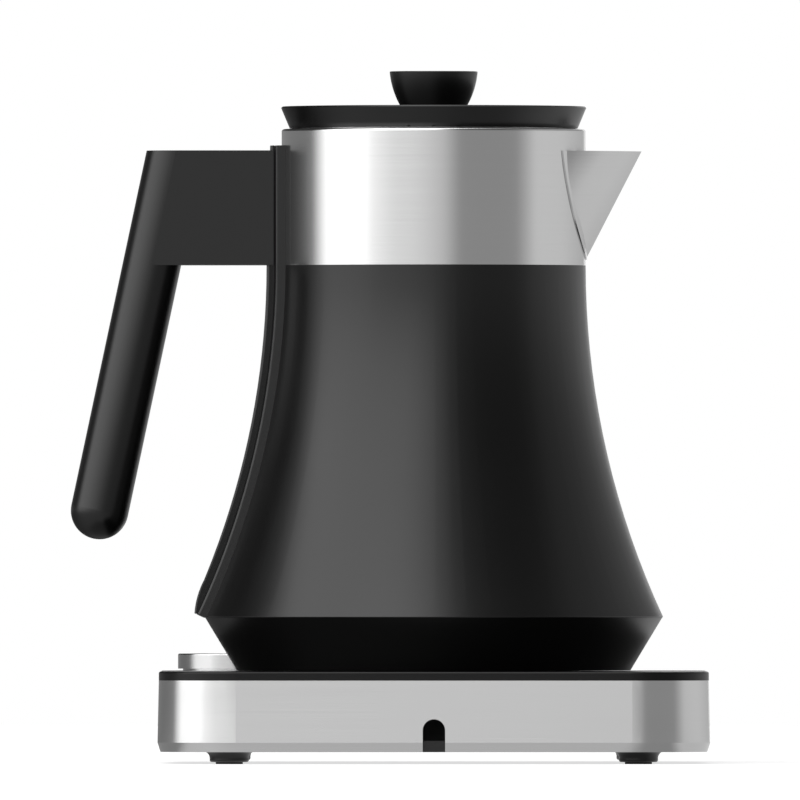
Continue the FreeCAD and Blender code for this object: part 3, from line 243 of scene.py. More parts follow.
# %% [markdown]
# The roll of white paper behind the kettle has a strength of 1. The camera and glass see it all round,
# and mirrors see its end behind on the right. One room for every ray would be simpler, but then the
# panels would show in the background, so the light path tells the rays apart.

# %% white backdrop
white = tree.nodes.new("ShaderNodeBackground")
white.inputs["Color"].default_value = (1.0, 1.0, 1.0, 1.0)
white.inputs["Strength"].default_value = backdrop
path = tree.nodes.new("ShaderNodeLightPath")
behind = sum_up(tree, "GREATER_THAN", compass, math.radians(backdrop_from))
mirrored = sum_up(tree, "MULTIPLY", path.outputs["Is Glossy Ray"], behind)
seen = sum_up(tree, "MAXIMUM", path.outputs["Is Camera Ray"], path.outputs["Is Transmission Ray"])
seen = sum_up(tree, "MAXIMUM", seen, mirrored)
pick = tree.nodes.new("ShaderNodeMixShader")
tree.links.new(seen, pick.inputs["Fac"])
tree.links.new(lit_room.outputs["Background"], pick.inputs[1])
tree.links.new(white.outputs["Background"], pick.inputs[2])
output = tree.nodes.new("ShaderNodeOutputWorld")
tree.links.new(pick.outputs["Shader"], output.inputs["Surface"])
print("mirrors see the backdrop from", backdrop_from, "degrees")

# %% [markdown]
# One lamp hangs high above the kettle, a little towards the camera's left. On the real set it is a large
# diffused panel. It lights what faces up, such as the dial's top, and settles the shadow under the base.
# A brighter ceiling could do the same, but a lamp can be moved without changing what the steel mirrors.

# %% overhead lamp
lamp_turn = math.radians(-25.0)
lamp_rise = math.radians(72.0)
lamp_reach = 1.5
lamp_side = 1.0
lamp_watts = 5.0

panel = bpy.data.lights.new("overhead_panel", "AREA")
panel.shape = "SQUARE"
panel.size = lamp_side
panel.energy = lamp_watts
lamp = bpy.data.objects.new("overhead_panel", panel)
lamp.location = lamp_reach * Vector((
    math.sin(lamp_turn) * math.cos(lamp_rise),
    -math.cos(lamp_turn) * math.cos(lamp_rise),
    math.sin(lamp_rise),
))
lamp.rotation_euler = (-lamp.location).to_track_quat("-Z", "Y").to_euler()
bpy.context.collection.objects.link(lamp)
print("lamp of", lamp_watts, "W at", [round(value, 2) for value in lamp.location])

# %% [markdown]
# The floor is a pale sheet of paper. It is lit like everything else, and a glow that the camera and glass
# see lifts it to the backdrop's white. More lamps could whiten it too, but they would wash out the steel
# and the shadow under the kettle, which stays this way. Its fibres are a noise in Object coordinates,
# the coordinates that stay with a piece when it moves: every finish in this lesson is made in this way.

# %% floor paper
glow = 0.7


def finish(name):
    """A new material with one main shader: returns the material, its tree and the shader."""
    made = bpy.data.materials.new(name)
    made.use_nodes = True
    tree = made.node_tree
    tree.nodes.clear()
    shader = tree.nodes.new("ShaderNodeBsdfPrincipled")
    output = tree.nodes.new("ShaderNodeOutputMaterial")
    tree.links.new(shader.outputs["BSDF"], output.inputs["Surface"])
    return made, tree, shader


def place_on_piece(tree, stretch=(1.0, 1.0, 1.0), centre=(0.0, 0.0, 0.0)):
    """Object coordinates in metres, measured from a centre and stretched by three factors."""
    where = tree.nodes.new("ShaderNodeTexCoord")
    mapping = tree.nodes.new("ShaderNodeMapping")
    shift = [-middle * factor for middle, factor in zip(centre, stretch)]
    mapping.inputs["Location"].default_value = shift
    mapping.inputs["Scale"].default_value = stretch
    tree.links.new(where.outputs["Object"], mapping.inputs["Vector"])
    return mapping.outputs["Vector"]


def speckle(tree, vector, scale, detail=2.0, roughness=0.5):
    """A noise pattern between 0 and 1."""
    noise = tree.nodes.new("ShaderNodeTexNoise")
    noise.inputs["Scale"].default_value = scale
    noise.inputs["Detail"].default_value = detail
    noise.inputs["Roughness"].default_value = roughness
    tree.links.new(vector, noise.inputs["Vector"])
    return noise.outputs["Fac"]


sheet, tree, shader = finish("floor_paper")
fibre = speckle(tree, place_on_piece(tree), 400.0)
paper = shades(tree, fibre, (0.0, grey(0.34)), (1.0, grey(0.38)))
tree.links.new(paper, shader.inputs["Base Color"])
shader.inputs["Roughness"].default_value = 0.9
shader.inputs["Specular IOR Level"].default_value = 0.0
shader.inputs["Emission Color"].default_value = (1.0, 1.0, 1.0, 1.0)
path = tree.nodes.new("ShaderNodeLightPath")
seen = sum_up(tree, "MAXIMUM", path.outputs["Is Camera Ray"], path.outputs["Is Transmission Ray"])
tree.links.new(sum_up(tree, "MULTIPLY", seen, glow), shader.inputs["Emission Strength"])
print("floor paper glows by", glow)

# %% [markdown]
# Mirrors see the same paper with painted light on it: a glow that only mirrors see, painted bright by the
# soft box and dim by the screen, where the light of the nearest wall would fall. A second set of lamps
# could do that, but then the floor would go patchy for the camera too, so the light path tells them apart.
# There are two rings of painted
# light, as for the walls: the base's lower edge mirrors the near one, the lid and the spout the far one.

# %% floor in mirrors
near_reach = 0.15
far_reach = 0.2
# Painted light on the floor: each entry is a compass direction and the brightness painted there for
# mirrors.
near_painted_light = [
    (-180.0, 0.67),
    (-150.0, 0.3),
    (-51.0, 0.3),
    (-47.0, 0.73),
    (-40.0, 0.76),
    (-34.0, 0.67),
    (33.0, 0.67),
    (36.0, 0.36),
    (44.0, 0.36),
    (47.0, 0.73),
    (180.0, 0.67),
]
far_painted_light = [
    (-180.0, backdrop),
    (-164.0, 0.12),
    (-122.0, 0.11),
    (-103.0, 0.24),
    (-87.0, 0.52),
    (-70.0, 0.68),
    (-10.0, 0.62),
    (7.0, 0.52),
    (20.0, 0.42),
    (60.0, 0.42),
    (88.0, 0.8),
    (115.0, 0.8),
    (backdrop_from, 0.57),
    (180.0, backdrop),
]

spot = place_on_piece(tree)
across, away = split(tree, spot)[:2]
around = compass_of(tree, across, away)
near_painted_glow = ring_of(tree, around, near_painted_light)
far_painted_glow = ring_of(tree, around, far_painted_light)
reach = tree.nodes.new("ShaderNodeVectorMath")
reach.operation = "LENGTH"
tree.links.new(spot, reach.inputs[0])
painted_mirror_floor = pass_over(tree, reach.outputs["Value"], near_reach, far_reach, near_painted_glow, far_painted_glow)
# Painted light: an emission that mirrors see on the floor in place of the lit paper.
mirror_painted_glow = tree.nodes.new("ShaderNodeEmission")
mirror_painted_glow.inputs["Strength"].default_value = soft_box
tree.links.new(painted_mirror_floor, mirror_painted_glow.inputs["Color"])
pick = tree.nodes.new("ShaderNodeMixShader")
tree.links.new(path.outputs["Is Glossy Ray"], pick.inputs["Fac"])
tree.links.new(shader.outputs["BSDF"], pick.inputs[1])
tree.links.new(mirror_painted_glow.outputs["Emission"], pick.inputs[2])
tree.links.new(pick.outputs["Shader"], tree.nodes["Material Output"].inputs["Surface"])
print("mirrors see", len(near_painted_light), "near panels and", len(far_painted_light), "far ones on the floor")

# %% [markdown]
# The sheet itself is one flat face under the feet. It belongs to the studio and not to the kettle.

# %% floor sheet
floor_half = 3.0
corners = [(-floor_half, -floor_half, 0), (floor_half, -floor_half, 0),
           (floor_half, floor_half, 0), (-floor_half, floor_half, 0)]
floor_mesh = bpy.data.meshes.new("floor")
floor_mesh.from_pydata(corners, [], [(0, 1, 2, 3)])
floor_mesh.materials.append(sheet)
floor = bpy.data.objects.new("floor", floor_mesh)
bpy.context.collection.objects.link(floor)
print("floor", 2 * floor_half, "m square")

# %% [markdown]
# Brushed steel. A belt sands the sheet along its length, so the scratches run level round the kettle.
# They smear reflections up and down but leave them crisp sideways, which is what the anisotropic socket
# does: the tangent runs level round each piece, and a quarter turn puts the smear across it. Noise
# squeezed to a fraction of a millimetre in height and left long sideways adds the scratches themselves.
# It feeds the colour, the roughness and a little bump. A number that is the same all over the surface
# is written on the shader's own socket instead.

# %% brushed steel
def between(tree, pattern, low, high):
    """A pattern turned into a number between low and high."""
    spread = tree.nodes.new("ShaderNodeMapRange")
    spread.inputs["From Min"].default_value = 0.25
    spread.inputs["From Max"].default_value = 0.75
    spread.inputs["To Min"].default_value = low
    spread.inputs["To Max"].default_value = high
    tree.links.new(pattern, spread.inputs["Value"])
    return spread.outputs["Result"]


def raised(tree, pattern, height):
    """A pattern turned into fine relief, height in metres."""
    bump = tree.nodes.new("ShaderNodeBump")
    bump.inputs["Strength"].default_value = 1.0
    bump.inputs["Distance"].default_value = height
    tree.links.new(pattern, bump.inputs["Height"])
    return bump.outputs["Normal"]


def dress(made, *names):
    """Give a finish to the named pieces of the frame."""
    for name in names:
        mesh = nodes[name].data
        mesh.materials.clear()
        mesh.materials.append(made)
    print(made.name, "on", ", ".join(names))


def steel_shader(name):
    """The parts that every steel finish shares: a level grain with reflections smeared across it."""
    made, tree, shader = finish(name)
    level = tree.nodes.new("ShaderNodeTangent")
    level.direction_type = "RADIAL"
    level.axis = "Z"
    tree.links.new(level.outputs["Tangent"], shader.inputs["Tangent"])
    shader.inputs["Metallic"].default_value = 1.0
    shader.inputs["Anisotropic"].default_value = 0.5
    shader.inputs["Anisotropic Rotation"].default_value = 0.25
    return made, tree, shader


def brushed_steel():
    """Sheet steel sanded level round the kettle."""
    made, tree, shader = steel_shader("brushed_steel")
    along_the_belt = place_on_piece(tree, stretch=(12.0, 12.0, 7000.0))
    scratches = speckle(tree, along_the_belt, 1.0, detail=3.0, roughness=0.6)
    tone = shades(tree, scratches, (0.3, grey(0.585)), (0.7, grey(0.615)))
    tree.links.new(tone, shader.inputs["Base Color"])
    tree.links.new(between(tree, scratches, 0.185, 0.215), shader.inputs["Roughness"])
    tree.links.new(raised(tree, scratches, 0.0004 * MM), shader.inputs["Normal"])
    return made


steel = brushed_steel()
dress(steel, "base_band", "steel_collar", "spout", "inner_vessel", "lid_plug")

# %% [markdown]
# The dial is turned on a lathe, so its grain runs in rings about its own centre. A picture of turned metal
# could be laid on its top, but it would blur from close by. Distance from the centre drives the noise
# instead, in the same way that a cutting tool draws its spiral.

# %% spun steel
def middle_of(name):
    """The middle of a piece of the frame."""
    low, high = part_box(name)
    return (Vector(low) + Vector(high)) / 2


def spun_steel(centre):
    """Steel with turning rings about an upright axis."""
    made, tree, shader = steel_shader("spun_steel")
    from_centre = tree.nodes.new("ShaderNodeVectorMath")
    from_centre.operation = "LENGTH"
    level_place = place_on_piece(tree, stretch=(1.0, 1.0, 0.0), centre=centre)
    tree.links.new(level_place, from_centre.inputs[0])
    rings = tree.nodes.new("ShaderNodeTexNoise")
    rings.noise_dimensions = "1D"
    rings.inputs["Scale"].default_value = 5000.0
    tree.links.new(from_centre.outputs["Value"], rings.inputs["W"])
    tone = shades(tree, rings.outputs["Fac"], (0.3, grey(0.58)), (0.7, grey(0.62)))
    tree.links.new(tone, shader.inputs["Base Color"])
    tree.links.new(between(tree, rings.outputs["Fac"], 0.18, 0.22), shader.inputs["Roughness"])
    tree.links.new(raised(tree, rings.outputs["Fac"], 0.0006 * MM), shader.inputs["Normal"])
    return made


dress(spun_steel(middle_of("dial_cap")), "dial_cap")

# %% [markdown]
# The black pieces. The jug, the handle, the lid and the pan wear a satin paint with a faint eggshell
# grain. The deck and the strip that covers the spine's screws are bare plastic, which mirrors less and
# has a finer spark grain from the mould. One function makes both, because only the numbers differ.

# %% black finishes
black = 0.002
satin = 0.3
black_grain = 0.002 * MM


def black_finish(name, gloss, grain_size):
    """A neutral black with an even fine grain, its size in metres."""
    made, tree, shader = finish(name)
    grain = speckle(tree, place_on_piece(tree), 1.0 / grain_size)
    cloud = speckle(tree, place_on_piece(tree), 40.0, detail=3.0)
    tone = shades(tree, grain, (0.3, grey(black * 0.9)), (0.7, grey(black * 1.1)))
    tree.links.new(tone, shader.inputs["Base Color"])
    tree.links.new(between(tree, cloud, satin - 0.01, satin + 0.01), shader.inputs["Roughness"])
    tree.links.new(raised(tree, grain, black_grain), shader.inputs["Normal"])
    shader.inputs["Specular IOR Level"].default_value = gloss
    return made


dress(black_finish("black_paint", gloss=0.44, grain_size=0.35 * MM),
      "outer_shell", "bottom_cup", "handle", "handle_spine", "lid_cap", "lid_knob", "base_pan")
dress(black_finish("black_plastic", gloss=0.26, grain_size=0.25 * MM), "base_deck", "spine_cover")

# %% [markdown]
# Mouldings and rubber. The connector halves, the clamp and the electrical housings are a glass-filled
# plastic: dull, slightly mottled, with a sparkle of fibres. The seals are soft black rubber, duller
# still. Both are one noise for the skin and a wider one for the wear, because that is how they look.

# %% mouldings and rubber
def moulding():
    """Glass-filled black plastic."""
    made, tree, shader = finish("black_moulding")
    fibres = speckle(tree, place_on_piece(tree, stretch=(1.0, 1.0, 3.0)), 1800.0, detail=3.0, roughness=0.7)
    mottle = speckle(tree, place_on_piece(tree), 120.0)
    tone = shades(tree, fibres, (0.25, grey(0.018)), (0.7, grey(0.028)), (0.85, grey(0.05)))
    tree.links.new(tone, shader.inputs["Base Color"])
    tree.links.new(between(tree, mottle, 0.42, 0.55), shader.inputs["Roughness"])
    tree.links.new(raised(tree, fibres, 0.01 * MM), shader.inputs["Normal"])
    return made


def rubber():
    """Soft black rubber with a dusty bloom."""
    made, tree, shader = finish("rubber")
    grain = speckle(tree, place_on_piece(tree), 3000.0, detail=3.0, roughness=0.65)
    bloom = speckle(tree, place_on_piece(tree), 220.0, detail=3.0)
    tone = shades(tree, bloom, (0.3, grey(0.016)), (0.75, grey(0.026)))
    tree.links.new(tone, shader.inputs["Base Color"])
    tree.links.new(between(tree, grain, 0.7, 0.85), shader.inputs["Roughness"])
    tree.links.new(raised(tree, grain, 0.012 * MM), shader.inputs["Normal"])
    shader.inputs["Specular IOR Level"].default_value = 0.3
    return made


soft_rubber = rubber()
dress(moulding(), "base_connector", "jug_connector", "connector_retainer", "cord_clamp", "terminal_block",
      "dial_hub", "encoder_body", "encoder_rotor", "power_relay", "power_module", "boil_dry_cutout")
dress(soft_rubber, "lid_gasket", "sensor_seal")

# %% [markdown]
# Small metals. The contacts are brass with a little tarnish, the heater is cast aluminium with a sandy
# skin, and the sensor, the dial's shaft, the switch and the screws are zinc-plated steel. Three metals
# share one recipe: a cloudy tone, a cloudy roughness and a fine relief.

# %% small metals
def small_metal(name, dull, bright, smooth, rough, grain_size, grain_height):
    """A plain metal, clouded from dull and rough to bright and smooth: grain size and height in metres."""
    made, tree, shader = finish(name)
    cloud = speckle(tree, place_on_piece(tree), 260.0, detail=4.0, roughness=0.6)
    grain = speckle(tree, place_on_piece(tree), 1.0 / grain_size, detail=3.0)
    tree.links.new(shades(tree, cloud, (0.3, dull), (0.7, bright)), shader.inputs["Base Color"])
    tree.links.new(between(tree, cloud, rough, smooth), shader.inputs["Roughness"])
    tree.links.new(raised(tree, grain, grain_height), shader.inputs["Normal"])
    shader.inputs["Metallic"].default_value = 1.0
    return made


plated = small_metal("screw_steel", dull=(0.5, 0.5, 0.51), bright=(0.6, 0.6, 0.6), smooth=0.24, rough=0.34,
                     grain_size=0.3 * MM, grain_height=0.002 * MM)
brass = small_metal("brass", dull=(0.58, 0.4, 0.17), bright=(0.8, 0.61, 0.3), smooth=0.22, rough=0.36,
                    grain_size=0.3 * MM, grain_height=0.003 * MM)
cast = small_metal("heater_alloy", dull=(0.52, 0.52, 0.52), bright=(0.7, 0.7, 0.7), smooth=0.42, rough=0.6,
                   grain_size=0.5 * MM, grain_height=0.03 * MM)
dress(plated, "ntc_sensor", "dial_shaft", "press_switch")
dress(brass, "earth_pin", "inner_ring", "outer_ring", "base_contacts")
dress(cast, "heating_plate", "heating_element")

# %% [markdown]
# The circuit board is green lacquer over copper tracks. A brick pattern makes believable tracks and pads:
# the mortar lines are bare board and the bricks are copper under lacquer. A drawn layout would be truer,
# but the board lies hidden inside the base.

# %% circuit board
def circuit_board():
    """Green lacquer over copper tracks."""
    made, tree, shader = finish("circuit_board")
    tracks = tree.nodes.new("ShaderNodeTexBrick")
    tracks.inputs["Color1"].default_value = (0.02, 0.2, 0.08, 1.0)
    tracks.inputs["Color2"].default_value = (0.03, 0.25, 0.1, 1.0)
    tracks.inputs["Mortar"].default_value = (0.01, 0.1, 0.045, 1.0)
    tracks.inputs["Scale"].default_value = 120.0
    tracks.inputs["Mortar Size"].default_value = 0.035
    tree.links.new(place_on_piece(tree), tracks.inputs["Vector"])
    tree.links.new(tracks.outputs["Color"], shader.inputs["Base Color"])
    tree.links.new(raised(tree, tracks.outputs["Fac"], -0.03 * MM), shader.inputs["Normal"])
    shader.inputs["Roughness"].default_value = 0.28
    return made


dress(circuit_board(), "control_board")

# %% [markdown]
# The wires share one node, side by side, so their place across the base picks their colour: brown and
# blue for the two that carry current, green for earth. Each wire could have a material of its own, but a
# stepped ramp over the X coordinate colours them all at once.

# %% wire sleeves
def wire_sleeve(name):
    """Soft plastic sleeves, coloured by where they lie across the base."""
    made, tree, shader = finish("wire_sleeve")
    low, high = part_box(name)
    width = high[0] - low[0]
    place = place_on_piece(tree, stretch=(1.0 / width, 1.0, 1.0), centre=(low[0], 0.0, 0.0))
    brown = (0.14, 0.055, 0.025)
    blue = (0.02, 0.1, 0.36)
    green = (0.1, 0.3, 0.04)
    tone = shades(tree, split(tree, place)[0], (0.0, brown), (0.14, blue), (0.34, green), (0.55, blue),
                  (0.82, brown), steps=True)
    tree.links.new(tone, shader.inputs["Base Color"])
    skin = speckle(tree, place_on_piece(tree), 900.0)
    tree.links.new(between(tree, skin, 0.38, 0.5), shader.inputs["Roughness"])
    tree.links.new(raised(tree, skin, 0.01 * MM), shader.inputs["Normal"])
    return made


dress(wire_sleeve("base_wires"), "base_wires")

# %% [markdown]
# The screws are made by Geometry Nodes. Each is a pan head with a cross recess on a threaded shank. One
# could be lathed by hand, but twenty-two of them follow one rule. A tree, here called a recipe, gets
# named inputs for its sizes. We open it first and add the head and the shank in the next steps.

# %% open the screw recipe
def new_recipe(name, numbers, vectors=()):
    """An empty Geometry Nodes tree with named inputs: returns the tree and its two end nodes."""
    recipe = bpy.data.node_groups.new(name, "GeometryNodeTree")
    recipe.interface.new_socket("Geometry", in_out="INPUT", socket_type="NodeSocketGeometry")
    for label in numbers:
        recipe.interface.new_socket(label, in_out="INPUT", socket_type="NodeSocketFloat")
    for label in vectors:
        recipe.interface.new_socket(label, in_out="INPUT", socket_type="NodeSocketVector")
    recipe.interface.new_socket("Geometry", in_out="OUTPUT", socket_type="NodeSocketGeometry")
    return recipe, recipe.nodes.new("NodeGroupInput"), recipe.nodes.new("NodeGroupOutput")


screw_sizes = ["Head Radius", "Head Height", "Shank Radius", "Length", "Pitch"]
screw, screw_start, screw_end = new_recipe("pan_head_screw", screw_sizes, ["Axis"])
print("screw recipe takes", ", ".join(screw_sizes))

# %% [markdown]
# The head starts as a cylinder whose rings sink towards the edge, which makes its dome. A round profile
# turned about the axis would give the same shape, but the cylinder is closed from the start, and only
# closed meshes can be cut in the next step.

# %% screw dome
dome_sink = 0.45
dome_power = 3.0


def connect(recipe, value, socket):
    """Link an output to a socket, or write a plain value on it."""
    if isinstance(value, bpy.types.NodeSocket):
        recipe.links.new(value, socket)
    else:
        socket.default_value = value


def add(recipe, kind, **inputs):
    """Add a node and fill or link its inputs by name, with _ for a space."""
    made = recipe.nodes.new(kind)
    for label, value in inputs.items():
        connect(recipe, value, made.inputs[label.replace("_", " ")])
    return made


def reckon(recipe, operation, *values):
    """One step of arithmetic on outputs or numbers."""
    step = recipe.nodes.new("ShaderNodeMath")
    step.operation = operation
    for socket, value in zip(step.inputs, values):
        connect(recipe, value, socket)
    return step.outputs["Value"]


def along_z(recipe, height):
    """A vector that points up by a height."""
    return add(recipe, "ShaderNodeCombineXYZ", Z=height).outputs["Vector"]


def moved_to(recipe, geometry, offset):
    """Shift geometry by an offset."""
    return add(recipe, "GeometryNodeTransform", Geometry=geometry, Translation=offset).outputs["Geometry"]


def point_place(recipe):
    """The place of each point, as outputs X, Y and Z."""
    here = add(recipe, "GeometryNodeInputPosition").outputs["Position"]
    return add(recipe, "ShaderNodeSeparateXYZ", Vector=here).outputs


def from_axis(recipe, place):
    """How far each point lies from the upright axis."""
    squares = [reckon(recipe, "MULTIPLY", place[side], place[side]) for side in ("X", "Y")]
    return reckon(recipe, "SQRT", reckon(recipe, "ADD", *squares))


def scaled_by(recipe, geometry, flat, tall):
    """Scale each point of a mesh: one factor on X and Y, another on Z."""
    here = add(recipe, "GeometryNodeInputPosition").outputs["Position"]
    factor = add(recipe, "ShaderNodeCombineXYZ", X=flat, Y=flat, Z=tall).outputs["Vector"]
    product = add(recipe, "ShaderNodeVectorMath")
    product.operation = "MULTIPLY"
    recipe.links.new(here, product.inputs[0])
    recipe.links.new(factor, product.inputs[1])
    return add(recipe, "GeometryNodeSetPosition", Geometry=geometry,
               Position=product.outputs["Vector"]).outputs["Geometry"]


def screw_dome(recipe, size):
    """A pan head without its recess: its seat is at nought and its top points down."""
    head = add(recipe, "GeometryNodeMeshCylinder", Vertices=32, Side_Segments=3, Fill_Segments=5,
               Radius=size["Head Radius"], Depth=size["Head Height"]).outputs["Mesh"]
    head = moved_to(recipe, head, along_z(recipe, reckon(recipe, "MULTIPLY", size["Head Height"], -0.5)))
    radius = from_axis(recipe, point_place(recipe))
    share = reckon(recipe, "POWER", reckon(recipe, "DIVIDE", radius, size["Head Radius"]), dome_power)
    sink = reckon(recipe, "SUBTRACT", 1.0, reckon(recipe, "MULTIPLY", share, dome_sink))
    return scaled_by(recipe, head, 1.0, sink)


dome = screw_dome(screw, screw_start.outputs)
print("screw recipe has", len(screw.nodes), "nodes with its dome")

# %% [markdown]
# Two bars cut the cross for the driver out of the dome. The cross could be modelled face by face, but a
# cut follows the head when its size changes. The manifold solver is the one that leaves no open edges.

# %% cross recess
cross_reach = 1.2
cross_width = 0.3
cross_depth = 0.6


def solid_step(recipe, operation):
    """A node that cuts or joins closed meshes and keeps them closed."""
    step = recipe.nodes.new("GeometryNodeMeshBoolean")
    step.operation = operation
    step.solver = "MANIFOLD"
    return step


def cut_cross(recipe, size, dome):
    """The dome with a cross recess in its top."""
    cutter = solid_step(recipe, "DIFFERENCE")
    recipe.links.new(dome, cutter.inputs["Mesh 1"])
    long = reckon(recipe, "MULTIPLY", size["Head Radius"], cross_reach)
    narrow = reckon(recipe, "MULTIPLY", size["Head Radius"], cross_width)
    deep = reckon(recipe, "MULTIPLY", size["Head Height"], 2.0 * cross_depth)
    top = along_z(recipe, reckon(recipe, "MULTIPLY", size["Head Height"], -1.0))
    for x, y in ((long, narrow), (narrow, long)):
        bar_size = add(recipe, "ShaderNodeCombineXYZ", X=x, Y=y, Z=deep).outputs["Vector"]
        bar = add(recipe, "GeometryNodeMeshCube", Size=bar_size).outputs["Mesh"]
        recipe.links.new(moved_to(recipe, bar, top), cutter.inputs["Mesh 2"])
    return cutter.outputs["Mesh"]


head = cut_cross(screw, screw_start.outputs, dome)
print("screw recipe has", len(screw.nodes), "nodes with its cross")

# %% [markdown]
# The thread is a cylinder whose radius swings with height and angle together, which is what a helix is. A
# profile swept along a spiral would be sharper, but it crosses itself at the root. The last turns narrow
# to a tip that finds its hole, and the root reaches into the head, so that the two join as one.

# %% screw shank
thread_depth = 0.14
rings_per_turn = 6.0
tip_turns = 2.0
tip_share = 0.55
root_share = 0.2


def screw_shank(recipe, size):
    """A threaded shank that runs up from nought, with a root below that lies inside the head."""
    root = reckon(recipe, "MULTIPLY", size["Head Height"], root_share)
    rod = reckon(recipe, "ADD", size["Length"], root)
    turns = reckon(recipe, "DIVIDE", size["Length"], size["Pitch"])
    rings = reckon(recipe, "MULTIPLY", turns, rings_per_turn)
    shank = add(recipe, "GeometryNodeMeshCylinder", Vertices=24, Radius=size["Shank Radius"], Depth=rod,
                Side_Segments=rings).outputs["Mesh"]
    rise = reckon(recipe, "SUBTRACT", reckon(recipe, "MULTIPLY", rod, 0.5), root)
    shank = moved_to(recipe, shank, along_z(recipe, rise))
    place = point_place(recipe)
    angle = reckon(recipe, "ARCTAN2", place["Y"], place["X"])
    phase = reckon(recipe, "SUBTRACT", reckon(recipe, "DIVIDE", place["Z"], size["Pitch"]),
                   reckon(recipe, "DIVIDE", angle, 2.0 * math.pi))
    swing = reckon(recipe, "PINGPONG", phase, 0.5)
    groove = reckon(recipe, "MULTIPLY", swing, 2.0 * thread_depth)
    to_tip = reckon(recipe, "DIVIDE", reckon(recipe, "SUBTRACT", size["Length"], place["Z"]), size["Pitch"])
    taper = add(recipe, "ShaderNodeMapRange", Value=to_tip, From_Max=tip_turns, To_Min=tip_share)
    narrow = reckon(recipe, "MULTIPLY", reckon(recipe, "SUBTRACT", 1.0, groove), taper.outputs["Result"])
    return scaled_by(recipe, shank, narrow, 1.0)


shank = screw_shank(screw, screw_start.outputs)
print("screw recipe has", len(screw.nodes), "nodes with its shank")

# %% [markdown]
# The whole screw is the head and the shank joined, set on every point and turned along an axis. A recipe
# ends in Realize Instances, because a copy that is only pointed at can't be kept, and in Set Material.

# %% close the screw recipe
def close_recipe(recipe, geometry, made, end, crease=math.radians(35.0)):
    """Finish a tree: real geometry, smooth faces with crisp corners, and a material."""
    solid = add(recipe, "GeometryNodeRealizeInstances", Geometry=geometry)
    corner = add(recipe, "GeometryNodeInputMeshEdgeAngle")
    sharp = reckon(recipe, "GREATER_THAN", corner.outputs["Unsigned Angle"], crease)
    smooth = add(recipe, "GeometryNodeSetShadeSmooth", Geometry=solid.outputs["Geometry"])
    crisp = add(recipe, "GeometryNodeSetShadeSmooth", Geometry=smooth.outputs["Geometry"],
                Selection=sharp, Shade_Smooth=False)
    crisp.domain = "EDGE"
    coated = add(recipe, "GeometryNodeSetMaterial", Geometry=crisp.outputs["Geometry"])
    coated.inputs["Material"].default_value = made
    recipe.links.new(coated.outputs["Geometry"], end.inputs["Geometry"])


whole = solid_step(screw, "UNION")
for half in (head, shank):
    screw.links.new(half, whole.inputs["Mesh 2"])
lean = add(screw, "FunctionNodeAlignRotationToVector", Vector=screw_start.outputs["Axis"])
lean.axis = "Z"
placed = add(screw, "GeometryNodeInstanceOnPoints", Points=screw_start.outputs["Geometry"],
             Instance=whole.outputs["Mesh"], Rotation=lean.outputs["Rotation"])
close_recipe(screw, placed.outputs["Instances"], plated, screw_end)
print("screw recipe has", len(screw.nodes), "nodes in all")

# %% [markdown]
# Each group of screws already has its place in the frame as a plain stand-in. We could type the places in
# again, but reading every stand-in's own box keeps the finished screw where it was and as long as it was.

# %% screw places
head_radius = 2.9 * MM
head_height = 2.0 * MM
shank_radius = 1.5 * MM
pitch = 0.8 * MM
up = Vector((0.0, 0.0, 1.0))
outward = Vector((-1.0, 0.0, 0.0))
screw_groups = [
    ("base_screws", "base", up),
    ("board_screws", "base", up),
    ("connector_screws", "base", up),
    ("clamp_screws", "base", -up),
    ("cup_screws", "jug", up),
    ("retainer_screws", "jug", -up),
    ("handle_screws", "jug", outward),
    ("spine_screws", "jug", outward),
    ("lid_screw", "lid", up),
]


def islands(name):
    """The separate solids of a piece of the frame, each as its list of corner points."""
    copy = bmesh.new()
    copy.from_mesh(nodes[name].data)
    bmesh.ops.remove_doubles(copy, verts=copy.verts, dist=0.001 * MM)
    found = []
    left = set(copy.verts)
    for first in copy.verts:
        if first not in left:
            continue
        left.remove(first)
        grown = [first]
        spread = [first]
        while spread:
            edges = spread.pop().link_edges
            fresh = {end for edge in edges for end in edge.verts} & left
            left -= fresh
            grown.extend(fresh)
            spread.extend(fresh)
        found.append([vert.co.copy() for vert in grown])
    copy.free()
    return found


def seats_of(name, axis):
    """The seat of each screw of a group, and the length of its shank."""
    seats = []
    for points in islands(name):
        low = Vector([min(values) for values in zip(*points)])
        high = Vector([max(values) for values in zip(*points)])
        whole_length = abs((high - low).dot(axis))
        centre = (low + high) / 2
        seats.append(centre - axis * (whole_length / 2 - head_height))
    return seats, whole_length - head_height


screw_seats = {name: seats_of(name, axis) for name, body, axis in screw_groups}
for name, (seats, length) in screw_seats.items():
    print(name, len(seats), "screws of", round(length / MM, 1), "mm")

# %% [markdown]
# The recipe runs on those few points, and its result is copied out as a plain mesh. A live modifier would
# let us change the screws later, but the kettle's pieces have to be plain meshes before they move.

# %% screws
def bake_recipe(name, recipe, spots, sizes, made):
    """Run a tree on a few points and keep its result as a plain mesh object."""
    seed = bpy.data.meshes.new(name + "_spots")
    seed.from_pydata([tuple(spot) for spot in spots], [], [])
    carrier = bpy.data.objects.new(name + "_carrier", seed)
    bpy.context.collection.objects.link(carrier)
    modifier = carrier.modifiers.new("recipe", "NODES")
    modifier.node_group = recipe
    for item in recipe.interface.items_tree:
        if item.in_out == "INPUT" and item.name in sizes:
            modifier[item.identifier] = sizes[item.name]
    mesh = bpy.data.meshes.new_from_object(carrier.evaluated_get(bpy.context.evaluated_depsgraph_get()))
    bpy.data.objects.remove(carrier)
    mesh.name = name
    mesh.materials.clear()
    mesh.materials.append(made)
    piece = bpy.data.objects.new(name, mesh)
    bpy.context.collection.objects.link(piece)
    return piece


